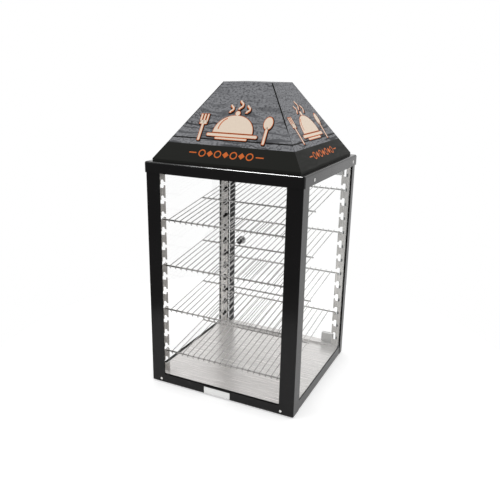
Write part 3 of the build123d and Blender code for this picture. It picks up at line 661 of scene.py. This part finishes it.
def cross_wire(sizes, y_place, inward, half_reach):
    """A cross wire whose two ends are turned inward, as half a wire and its mirror."""
    wire = round_start(sizes.cross_diameter / 2, cross_sides, (0, y_place, 0), (0, quarter_turn, 0))
    x_bend = half_reach - cross_bend
    stub = cross_stub + sizes.cross_diameter
    push((x_bend, 0, 0))
    swing(quarter_turn * inward, (0, 0, 1), (x_bend, y_place + inward * cross_bend, 0), bend_steps)
    push((0, inward * (stub - cross_bend - end_bevel), 0))
    push((0, inward * end_bevel, 0))
    widen((end_share, 1, end_share), (half_reach, y_place + inward * stub, 0))
    select(wire, "FACE", lambda face: abs(face.calc_center_median().x) < same_place)
    bpy.ops.mesh.delete(type="FACE")
    apply_modifier(wire, "MIRROR", use_axis=(True, False, False), merge_threshold=same_place)
    return wire


def middle_wire(sizes, y_place, half_reach):
    """The straight cross wire under the middle of the rods, bevelled at both ends."""
    wire = round_start(
        sizes.cross_diameter / 2 * end_share, cross_sides, (-half_reach, y_place, 0), (0, quarter_turn, 0)
    )
    centre = (0, y_place, 0)
    push((end_bevel, 0, 0))
    widen((1, 1 / end_share, 1 / end_share), centre)
    push((2 * (half_reach - end_bevel), 0, 0))
    push((end_bevel, 0, 0))
    widen((1, end_share, end_share), centre)
    return wire


def cross_wire_places():
    """Y of the front and the rear cross wire, from the standards that carry them."""
    reach = strip_thickness + wire_stand_off + settings("shelf").cross_diameter / 2
    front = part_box("standard_front_left")[1].y - reach
    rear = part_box("standard_rear_left")[0].y + reach
    return front, rear


def one_shelf():
    """A whole shelf, level, with the front wire's middle at the origin."""
    sizes = settings("shelf")
    cabinet_low, cabinet_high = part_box("front_frame")
    half_width = (cabinet_high.x - cabinet_low.x) / 2
    y_front, y_rear = cross_wire_places()
    span = math.hypot(y_rear - y_front, sizes.rise)
    half_row = half_width - sizes.rod_inset
    parts = [
        shelf_rods(sizes, span, half_row),
        cross_wire(sizes, 0, 1, half_width - cross_end_inset),
        cross_wire(sizes, span, -1, half_width - cross_end_inset),
        middle_wire(sizes, span * middle_cross_share, half_row + middle_cross_overrun),
    ]
    shelf = join(parts, "shelf_pattern")
    tidy_mesh(shelf, angle=50)
    return shelf


class MERCHANDISER_OT_wire_shelves(bpy.types.Operator):
    """Models one wire shelf and lays a copy in each pair of notches"""

    bl_idname = "merchandiser.wire_shelves"
    bl_label = "Wire shelves"

    def execute(self, context):
        sizes = settings("shelf")
        pattern = one_shelf()
        y_front, y_rear = cross_wire_places()
        tilt = Matrix.Rotation(math.atan2(sizes.rise, y_rear - y_front), 4, "X")
        for number in range(1, 5):
            node = "wire_shelf_" + str(number)
            z_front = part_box(node)[0].z + sizes.curl_low
            shelf = copy_of(pattern, "rod_shelf_" + str(number))
            settle(shelf, Matrix.Translation((0, y_front, z_front)) @ tilt)
            seat(shelf, "wire", "shelf_" + str(number), "chrome_wire", node)
        bpy.data.objects.remove(pattern)
        return {"FINISHED"}


# Screws and the plate

screw_radius = 3.4 * MM
screw_height = 2.0 * MM
screw_sides = 32
screw_profile = (
    # share of the head's height, share of its radius
    (0, 0.9), (0.125, 1), (0.45, 1), (0.8, 0.86), (0.96, 0.6), (1, 0.3),
)
recess_length = 1.1 * screw_radius
recess_width = 0.26 * screw_radius
recess_depth = 0.45 * screw_height
head_sink = 0.05 * MM

# how deep a head is sunk, and its size over the pattern's
rail_head = (head_sink, (1.1, 1.1, 1))
skirt_head = (1.4 * MM, (1.45, 1.45, 0.9))
rail_screw_height = 10 * MM
rail_screw_insets = (32 * MM, 38 * MM)
skirt_screw_height = 12 * MM
skirt_screw_insets = (72 * MM, 38 * MM)


def pan_screw():
    """A pan head with a cross recess, its seat at the origin and its head along +Z."""
    stations = [(screw_height * height, screw_radius * radius) for height, radius in screw_profile]
    head = turned("screw_pattern", stations, screw_sides)
    for turn in (0, quarter_turn):
        cutter = add(
            bpy.ops.mesh.primitive_cube_add, (recess_length, recess_width, 2 * recess_depth),
            size=1, location=(0, 0, screw_height), rotation=(0, 0, turn),
        )
        apply_modifier(head, "BOOLEAN", operation="DIFFERENCE", object=cutter, solver="EXACT")
        bpy.data.objects.remove(cutter)
    return head


def drive_screws(name, body, places):
    """One piece of pan heads, a copy at each place."""
    pattern = pan_screw()
    heads = []
    for number, place in enumerate(places):
        head = copy_of(pattern, name + "_" + str(number))
        settle(head, place)
        heads.append(head)
    bpy.data.objects.remove(pattern)
    screws = join(heads, name)
    tidy_mesh(screws, angle=30)
    seat(screws, "screw", body, "stainless")


def spun(degrees, size=1.0):
    """A head's turn about its own axis, so that no two recesses lie alike, and its size."""
    return Matrix.Rotation(math.radians(degrees), 4, "Z") @ Matrix.Scale(size, 4)


class MERCHANDISER_OT_screws(bpy.types.Operator):
    """Drives pan-head screws into the bottom rail and the cap's skirt"""

    bl_idname = "merchandiser.screws"
    bl_label = "Screws"

    def execute(self, context):
        frame_low, frame_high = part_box("front_frame")
        cap_low, cap_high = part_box("top_cap")
        from_left, from_right = rail_screw_insets
        from_front, from_rear = skirt_screw_insets
        z_rail = frame_low.z + rail_screw_height
        z_skirt = cap_low.z + skirt_screw_height
        holes = [
            ((x_rail, frame_low.y, z_rail), (0, -1, 0), rail_head)
            for x_rail in (frame_low.x + from_left, frame_high.x - from_right)
        ]
        for side, x_skirt in ((-1, cap_low.x), (1, cap_high.x)):
            for y_skirt in (cap_low.y + from_front, cap_high.y - from_rear):
                holes.append(((x_skirt, y_skirt, z_skirt), (side, 0, 0), skirt_head))
        places = []
        for number, (point, outward, (sink, size)) in enumerate(holes):
            seat_point = Vector(point) - Vector(outward) * sink
            places.append(facing(seat_point, outward) @ spun(17 + 31 * number) @ Matrix.Diagonal((*size, 1)))
        drive_screws("pan_screws", "cabinet", places)
        return {"FINISHED"}


plate_size = (84 * MM, 21 * MM, 0.8 * MM)
plate_from_left = 220.5 * MM
plate_from_below = 0.8 * MM
plate_corner = 1.6 * MM
plate_steps = (
    # a step's width inwards and its rise: the bevelled edge, the rim, the sunk middle
    (0.35 * MM, 0.12 * MM), (0.9 * MM, 0), (0.15 * MM, -0.1 * MM),
)


class MERCHANDISER_OT_rail_plate(bpy.types.Operator):
    """Adds the plain silver plate on the bottom rail, with nothing on it"""

    bl_idname = "merchandiser.rail_plate"
    bl_label = "Rail plate"

    def execute(self, context):
        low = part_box("front_frame")[0]
        height, thickness = plate_size[1:]
        plate = add(bpy.ops.mesh.primitive_cube_add, plate_size, size=1, location=(0, 0, thickness / 2))
        edit(plate)
        select(plate, "EDGE", lambda edge: abs((edge.verts[0].co - edge.verts[1].co).z) > thickness / 2)
        bpy.ops.mesh.bevel(offset=plate_corner, segments=6)
        select(plate, "FACE", lambda face: face.normal.z > 0.9)
        for step, rise in plate_steps:
            bpy.ops.mesh.inset(thickness=step)
            bpy.ops.transform.translate(value=(0, 0, rise))
        plate = join([plate], "rail_plate")
        centre = (low.x + plate_from_left, low.y, low.z + height / 2 + plate_from_below)
        settle(plate, facing(centre, (0, -1, 0)))
        tidy_mesh(plate, angle=30)
        seat(plate, "plate", "cabinet", "stainless")
        return {"FINISHED"}


# Canopy print

slope_outward = {"front": (0, -1, 0), "rear": (0, 1, 0), "right": (1, 0, 0), "left": (-1, 0, 0)}


def canopy_face(name):
    """The middle of a slope's lower edge, with X along it, Y up the slope and Z outward."""
    low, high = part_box("canopy")
    z_slope, rise = canopy_slopes()
    outward = Vector(slope_outward[name])
    axis = 0 if outward.x else 1
    run = (high[axis] - low[axis] - canopy_top[axis]) / 2
    origin = (low + high) / 2
    origin[axis] = high[axis] if outward[axis] > 0 else low[axis]
    origin.z = z_slope
    x_axis = Vector((0, 0, 1)).cross(outward)
    y_axis = (Vector((0, 0, rise)) - outward * run).normalized()
    return placed(origin, x_axis, y_axis, x_axis.cross(y_axis))


def disc(x, y, radius, sides=48, squash=1.0):
    return add(
        bpy.ops.mesh.primitive_circle_add, (1, squash, 1), vertices=sides, radius=radius,
        fill_type="NGON", location=(x, y, 0),
    )


def half_disc(x, y, radius, squash, drop):
    """The upper part of a disc, cut level at drop under its middle."""
    piece = disc(x, y, radius, 64, squash)
    edit(piece)
    bpy.ops.mesh.select_all(action="SELECT")
    bpy.ops.mesh.bisect(plane_co=(x, y - drop, 0), plane_no=(0, -1, 0), clear_outer=True, use_fill=False)
    start()
    return piece


def oblong(width, height, place=(0, 0, 0)):
    return add(bpy.ops.mesh.primitive_plane_add, (width, height, 1), size=1, location=place)


def bar(x, y, width, height, corner, lean=0.0):
    """A flat bar with round corners about its middle."""
    piece = oblong(width, height)
    edit(piece)
    bpy.ops.mesh.select_all(action="SELECT")
    bpy.ops.mesh.bevel(offset=min(corner, width * 0.49, height * 0.49), segments=6, affect="VERTICES")
    settle(piece, Matrix.Translation((x, y, 0)) @ Matrix.Rotation(lean, 4, "Z"))
    return piece


ribbon_start = 0.4 * MM
ribbon_step = math.radians(9)
ring_turn = math.radians(358)
ring_steps = 32


def ribbon(x, y, width, bends):
    """A flat ribbon that starts upward at a point and follows bends of (radius, angle)."""
    piece = oblong(width, ribbon_start, (x, y, 0))
    edit(piece)
    select(piece, "EDGE", lambda edge: min(v.co.y for v in edge.verts) > y)
    point = Vector((x, y + ribbon_start / 2, 0))
    heading = Vector((0, 1, 0))
    for radius, angle in bends:
        side = 1 if angle > 0 else -1
        centre = point + Matrix.Rotation(quarter_turn * side, 3, "Z") @ heading * radius
        swing(angle, (0, 0, 1), tuple(centre), max(3, int(abs(angle) / ribbon_step)))
        turn = Matrix.Rotation(angle, 3, "Z")
        point = centre + turn @ (point - centre)
        heading = turn @ heading
    start()
    return piece


def ring(x, y, radius, stroke):
    """A flat ring: an edge spun right round, until it ends on the piece that it started from."""
    piece = oblong(stroke, stroke * 0.2, (radius, 0, 0))
    edit(piece)
    select(piece, "EDGE", lambda edge: min(v.co.y for v in edge.verts) > 0)
    swing(ring_turn, (0, 0, 1), (0, 0, 0), ring_steps)
    settle(piece, Matrix.Translation((x, y, 0)))
    return piece


plate_line = 84 * MM
steam_turn = math.radians(64)


def cloche_motif(grow):
    """A covered dish with steam between a fork and a spoon; grow widens every stroke."""

    def stroke(x, y, width, height, corner):
        """A bar in millimetres, from the plate's middle."""
        return bar(x * MM, plate_line + y * MM, width * MM + 2 * grow, height * MM + 2 * grow, corner * MM)

    # the plate, its cover with a ball on top, and the line under them
    parts = [
        stroke(0, 0, 146, 7.5, 6),
        half_disc(0, plate_line + 8 * MM, 57 * MM + grow, 0.9, grow),
        disc(0, plate_line + 66 * MM, 6.5 * MM + grow, 40),
        stroke(0, -9.5, 92, 4.5, 4),
    ]
    # three wisps of steam: place, height over the plate and radius of the bends
    for x_steam, height, radius in ((-24, 68, 6.5), (0, 78, 7.5), (24, 68, 6.5)):
        bends = [(radius * MM, -steam_turn), (radius * MM, 2 * steam_turn), (radius * MM, -steam_turn)]
        y_steam = plate_line + height * MM - grow
        parts.append(ribbon(x_steam * MM, y_steam, 4.2 * MM + 2 * grow, bends))
    # the fork at the left: handle, root and tines
    parts += [stroke(-94, 6, 6, 50, 3), stroke(-94, 35, 23, 11, 5)]
    parts += [stroke(-94 + x_tine, 46, 4.4, 27, 2.2) for x_tine in (-9.3, 0, 9.3)]
    # the spoon at the right: handle and bowl
    parts += [stroke(94, 6, 6, 50, 3), disc(94 * MM, plate_line + 42 * MM, 12 * MM + grow, 48, 1.45)]
    return parts


def gleam_motif():
    """The bright line on the dish's cover, one bend of the outline's colour."""
    x_start, y_start, width, radius, turn = -44 * MM, 101 * MM, 2.8 * MM, 38 * MM, math.radians(-60)
    return [ribbon(x_start, y_start, width, [(radius, turn)])]


# the size of a bar, here and on the panel, is its width, its height and its corners' radius
row_rise = 28 * MM
row_pitch = 23 * MM
ring_radius = 9 * MM
row_stroke = 3.2 * MM
diamond_size = (13 * MM, 13 * MM, 0.8 * MM)
dash_offset = 97 * MM
dash_size = (22 * MM, row_stroke, 1 * MM)


def band_motif():
    """Rings and diamonds in a row on the charcoal band, between two dashes."""
    parts = []
    for number in range(-3, 4):
        x_place = number * row_pitch
        if number % 2:
            parts.append(ring(x_place, row_rise, ring_radius, row_stroke))
        else:
            parts.append(bar(x_place, row_rise, *diamond_size, quarter_turn / 2))
    for side in (-1, 1):
        parts.append(bar(side * dash_offset, row_rise, *dash_size))
    return parts


ink_lift = 0.05 * MM
ink_thickness = 0.15 * MM
shadow_grow = 2.9 * MM
shadow_shift = (1.8 * MM, -2.2 * MM)
outline_grow = 1.5 * MM


def print_layer(name, parts, face, lift, thickness, shift=(0, 0)):
    """Joins flat shapes, gives them thickness and lays them on a slope of the canopy."""
    layer = join(parts, name)
    edit(layer)
    bpy.ops.mesh.select_all(action="SELECT")
    bpy.ops.mesh.normals_make_consistent(inside=False)
    mesh = bmesh.from_edit_mesh(layer.data)
    for shape in mesh.faces:
        if shape.normal.z < 0:
            shape.normal_flip()
    bmesh.update_edit_mesh(layer.data)
    push((0, 0, thickness))
    settle(layer, canopy_face(face) @ Matrix.Translation((*shift, lift)))
    tidy_mesh(layer, angle=30)
    return layer


class MERCHANDISER_OT_canopy_print(bpy.types.Operator):
    """Prints the covered dish and the band's motifs on the front and the sides"""

    bl_idname = "merchandiser.canopy_print"
    bl_label = "Canopy print"

    def execute(self, context):
        for face in ("front", "right", "left"):
            # ink, shapes, how many layers lie under them, and their shift
            layers = (
                ("shadow", cloche_motif(shadow_grow), 0, shadow_shift),
                ("orange", cloche_motif(outline_grow), 1, (0, 0)),
                ("cream", cloche_motif(0.0), 2, (0, 0)),
                ("orange", gleam_motif(), 3, (0, 0)),
                ("orange", band_motif(), 0, (0, 0)),
            )
            for number, (ink, parts, under, shift) in enumerate(layers):
                name = "canopy_" + face + "_print_" + str(number)
                lift = ink_lift + under * ink_thickness
                layer = print_layer(name, parts, face, lift, ink_thickness, shift)
                seat(layer, ink, "cabinet", "canopy_finish")
        return {"FINISHED"}


# Rear fittings

stud_radius = 3 * MM
stud_tip = (2.2 * MM, 0.8 * MM)
knob_sides = 56
flange = (0.01 * MM, 0.55)
knob_profile = (
    # share of the knob's length, share of its radius
    (0.08, 0.6), (0.2, 0.5), (0.32, 0.52), (0.42, 0.72), (0.5, 0.9), (0.58, 0.98), (0.68, 1), (0.8, 0.97),
    (0.88, 0.9), (0.94, 0.8), (0.94, 0.62), (0.97, 0.55), (1, 0.3), (1, 0.05),
)


class MERCHANDISER_OT_door_knob(bpy.types.Operator):
    """Turns the round door knob with its recessed end and its stud"""

    bl_idname = "merchandiser.door_knob"
    bl_label = "Door knob"

    def execute(self, context):
        low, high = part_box("door_knob")
        glass_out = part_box("door_glass")[1].y
        radius = (high.x - low.x) / 2
        length = high.y - glass_out
        z_stud = low.y - glass_out
        tip_radius, tip_length = stud_tip
        z_flange, flange_share = flange
        stations = [
            (z_stud, tip_radius), (z_stud + tip_length, stud_radius), (0, stud_radius),
            (z_flange, radius * flange_share),
        ]
        stations += [(length * height, radius * share) for height, share in knob_profile]
        knob = turned("turned_knob", stations, knob_sides)
        centre = ((low.x + high.x) / 2, glass_out, (low.z + high.z) / 2)
        settle(knob, facing(centre, (0, 1, 0)))
        tidy_mesh(knob, angle=40)
        seat(knob, "knob", "rear_door", "knob_metal", "door_knob")
        return {"FINISHED"}


dial_offset = 54 * MM
dial_marks = 7
mark_step = math.radians(45)
mark_radius = 19.6 * MM
mark_size = (2.6 * MM, 0.7 * MM, 0.3 * MM)
number_radius = 24.4 * MM
switch_offsets = (-18 * MM, -56 * MM)
legend_size = 6.0 * MM
legend_rise = 20.5 * MM
legend_lift = 0.03 * MM
legend_thickness = 0.12 * MM
dial_face = 15.4 * MM
pointer_middle = 9 * MM
pointer_size = (1.6 * MM, 9 * MM, 0.8 * MM)
panel_screw_inset = 6 * MM
panel_screw_rise = 24 * MM
panel_screw_size = 0.7
clamp_screw_inset = 9 * MM
clamp_screw_shares = (0.28, 0.72)
clamp_screw_size = 0.45


def panel_spot(offset, up=0.0, out=0.0):
    """A place on the control panel's outer face: along it, up the slope and outward."""
    low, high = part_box("control_panel")
    middle = canopy_face("rear").inverted() @ ((low + high) / 2)
    return offset, middle.y + up, middle.z * 2 + out


def character(text, x, y):
    """Flat characters about their middle."""
    start()
    bpy.ops.object.text_add(location=(0, 0, 0))
    letters = bpy.context.object.data
    letters.body = text
    letters.size = legend_size
    letters.align_x = "CENTER"
    letters.align_y = "CENTER"
    letters.resolution_u = 4
    bpy.ops.object.convert(target="MESH")
    piece = bpy.context.object
    settle(piece, Matrix.Translation((x, y, 0)))
    return piece


class MERCHANDISER_OT_panel_marks(bpy.types.Operator):
    """Prints the dial's scale, its pointer and the switches' ON and OFF, and drives the rear screws"""

    bl_idname = "merchandiser.panel_marks"
    bl_label = "Panel marks"

    def execute(self, context):
        self.print_legends()
        self.print_pointer()
        low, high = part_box("control_panel")
        reach = (high.x - low.x) / 2 - panel_screw_inset
        places = []
        for number, (x_side, y_side) in enumerate(((-1, -1), (1, -1), (1, 1), (-1, 1))):
            spot = panel_spot(x_side * reach, y_side * panel_screw_rise, -head_sink)
            turn = spun(20 + 50 * number, panel_screw_size)
            places.append(canopy_face("rear") @ Matrix.Translation(spot) @ turn)
        drive_screws("panel_screws", "cabinet", places)
        places = []
        for node in ("door_clamp_lower", "door_clamp_upper"):
            low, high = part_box(node)
            for share in clamp_screw_shares:
                z_screw = low.z + (high.z - low.z) * share
                point = (low.x + clamp_screw_inset, high.y - head_sink, z_screw)
                places.append(facing(point, (0, 1, 0)) @ spun(70 * share, clamp_screw_size))
        drive_screws("clamp_screws", "rear_door", places)
        return {"FINISHED"}

    def print_legends(self):
        """Marks and numbers round the dial, ON over each switch and OFF under it."""
        parts = []
        for number in range(dial_marks):
            angle = quarter_turn - mark_step * number
            x_unit, y_unit = math.cos(angle), math.sin(angle)
            x_mark, y_mark = dial_offset + mark_radius * x_unit, mark_radius * y_unit
            parts.append(bar(x_mark, y_mark, *mark_size, angle))
            parts.append(character(str(number), dial_offset + number_radius * x_unit, number_radius * y_unit))
        for x_switch in switch_offsets:
            parts.append(character("ON", x_switch, legend_rise))
            parts.append(character("OFF", x_switch, -legend_rise))
        x_panel, y_panel, lift = panel_spot(0, out=legend_lift)
        marks = print_layer("panel_scale", parts, "rear", lift, legend_thickness, (x_panel, y_panel))
        seat(marks, "legend", "cabinet", "black_plastic")

    def print_pointer(self):
        """The line on the dial's face."""
        pointer = [bar(0, pointer_middle, *pointer_size)]
        x_dial, y_dial, lift = panel_spot(dial_offset, out=dial_face)
        line = print_layer("dial_pointer", pointer, "rear", lift, ink_thickness, (x_dial, y_dial))
        seat(line, "legend", "dial", "black_plastic")


# Studio

floor_radius = 0.85
floor_glow = 0.45
lamp_target = Vector((0, 0, 0.45))
lamps = (
    # name, place, width and height, and the nodes that it lights where it doesn't light all
    ("key", (-1.6, -1.5, 2.3), (1.8, 1.8), ()),
    ("side", (2.2, -0.1, 1.0), (1.6, 2.2), ()),
    ("strip", (-0.55, -0.55, 2.3), (0.26, 0.9), ("top_cap",)),
    ("fill", (1.2, -1.8, 1.0), (0.8, 0.8), ("standard_front_left", "standard_front_right")),
)


class MERCHANDISER_OT_studio(bpy.types.Operator):
    """Lays the floor, the lights and the camera"""

    bl_idname = "merchandiser.studio"
    bl_label = "Studio"

    def execute(self, context):
        scene = context.scene
        scene.view_settings.view_transform = "Standard"
        scene.view_settings.look = "None"
        self.lay_floor()
        self.light_surround()
        for name, place, size, nodes in lamps:
            lamp = self.hang_light(name, place, size)
            if nodes:
                self.light_only(lamp, nodes)
        # the strip shows only as a highlight
        bpy.data.objects["strip"].visible_diffuse = False
        self.set_camera()
        return {"FINISHED"}

    def set_camera(self):
        studio = settings("studio")
        data = bpy.data.cameras.new("camera")
        camera = bpy.data.objects.new("camera", data)
        bpy.context.scene.collection.objects.link(camera)
        data.lens = studio.lens
        data.sensor_width = 36
        data.clip_start = 0.02
        turn = Matrix.Rotation(studio.turn, 4, "Z")
        dip = Matrix.Rotation(quarter_turn - studio.dip, 4, "X")
        roll = Matrix.Rotation(studio.roll, 4, "Z")
        camera.matrix_world = Matrix.Translation(studio.place) @ turn @ dip @ roll
        bpy.context.scene.camera = camera

    def light_only(self, lamp, names):
        """Keeps a lamp's light to a few nodes."""
        lit = bpy.data.collections.new("lit by " + lamp.name)
        for name in names:
            lit.objects.link(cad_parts[name])
        lamp.light_linking.receiver_collection = lit

    def lay_floor(self):
        """A round pale floor, as white as the surround that it ends in."""
        start()
        bpy.ops.mesh.primitive_circle_add(vertices=96, radius=floor_radius, fill_type="NGON")
        floor = bpy.context.object
        floor.name = "floor"
        finish = Finish("pale floor", {
            "Roughness": 0.9, "Specular IOR Level": 0.1,
            "Emission Color": (1, 1, 1, 1), "Emission Strength": floor_glow,
        })
        cloud = finish.noise(finish.place(), 2.0)
        finish.wire("Base Color", finish.mix(cloud, (0.73, 0.73, 0.73, 1), (0.76, 0.76, 0.76, 1)))
        floor.data.materials.append(finish.material)

    def light_surround(self):
        """A white surround; polished surfaces mirror it darker in front of the cabinet than behind."""
        studio = settings("studio")
        world = bpy.data.worlds.new("white surround")
        world.use_nodes = True
        tree = world.node_tree
        background = tree.nodes["Background"]
        background.inputs["Color"].default_value = (1, 1, 1, 1)
        direction = add_node(tree, "ShaderNodeTexCoord").outputs["Generated"]
        axes = add_node(tree, "ShaderNodeSeparateXYZ", {0: direction})
        mirrored = add_node(tree, "ShaderNodeMapRange", {
            "Value": axes.outputs["Y"], "From Min": -0.6, "From Max": 0.6,
            "To Min": studio.gloss_front, "To Max": studio.gloss_rear,
        })
        path = add_node(tree, "ShaderNodeLightPath")
        strength = mirrored.outputs["Result"]
        for ray, level in (("Is Diffuse Ray", studio.surround), ("Is Camera Ray", 1.0)):
            sockets = {0: path.outputs[ray], 2: strength, 3: level}
            strength = add_node(tree, "ShaderNodeMix", sockets, data_type="FLOAT").outputs[0]
        tree.links.new(strength, background.inputs["Strength"])
        bpy.context.scene.world = world

    def hang_light(self, name, place, size):
        """An area light that looks at the cabinet's middle."""
        data = bpy.data.lights.new(name, "AREA")
        data.shape = "RECTANGLE"
        data.size, data.size_y = size
        data.energy = getattr(settings("studio"), name + "_power")
        lamp = bpy.data.objects.new(name, data)
        bpy.context.scene.collection.objects.link(lamp)
        aim = (Vector(place) - lamp_target).to_track_quat("Z", "Y")
        lamp.matrix_world = Matrix.Translation(place) @ aim.to_matrix().to_4x4()
        return lamp


class MERCHANDISER_PT_parts(bpy.types.Panel):
    """Lists the pieces in the order in which they are made"""

    bl_idname = "MERCHANDISER_PT_parts"
    bl_label = "Merchandiser"
    bl_space_type = "VIEW_3D"
    bl_region_type = "UI"
    bl_category = "Merchandiser"

    def draw(self, context):
        for operator in operators:
            self.layout.operator(operator.bl_idname)


setting_groups = (("finish", FinishSettings), ("shelf", ShelfSettings), ("studio", StudioSettings))
operators = (
    MERCHANDISER_OT_finishes,
    MERCHANDISER_OT_wire_shelves,
    MERCHANDISER_OT_screws,
    MERCHANDISER_OT_rail_plate,
    MERCHANDISER_OT_canopy_print,
    MERCHANDISER_OT_door_knob,
    MERCHANDISER_OT_panel_marks,
    MERCHANDISER_OT_studio,
)


def register():
    for name, group in setting_groups:
        bpy.utils.register_class(group)
        setattr(bpy.types.Scene, "merchandiser_" + name, bpy.props.PointerProperty(type=group))
    for operator in operators:
        bpy.utils.register_class(operator)
    bpy.utils.register_class(MERCHANDISER_PT_parts)


def unregister():
    bpy.utils.unregister_class(MERCHANDISER_PT_parts)
    for operator in reversed(operators):
        bpy.utils.unregister_class(operator)
    for name, group in reversed(setting_groups):
        delattr(bpy.types.Scene, "merchandiser_" + name)
        bpy.utils.unregister_class(group)


def main():
    register()
    for operator in operators:
        family, action = operator.bl_idname.split(".")
        getattr(getattr(bpy.ops, family), action)()


if __name__ == "__main__":
    main()
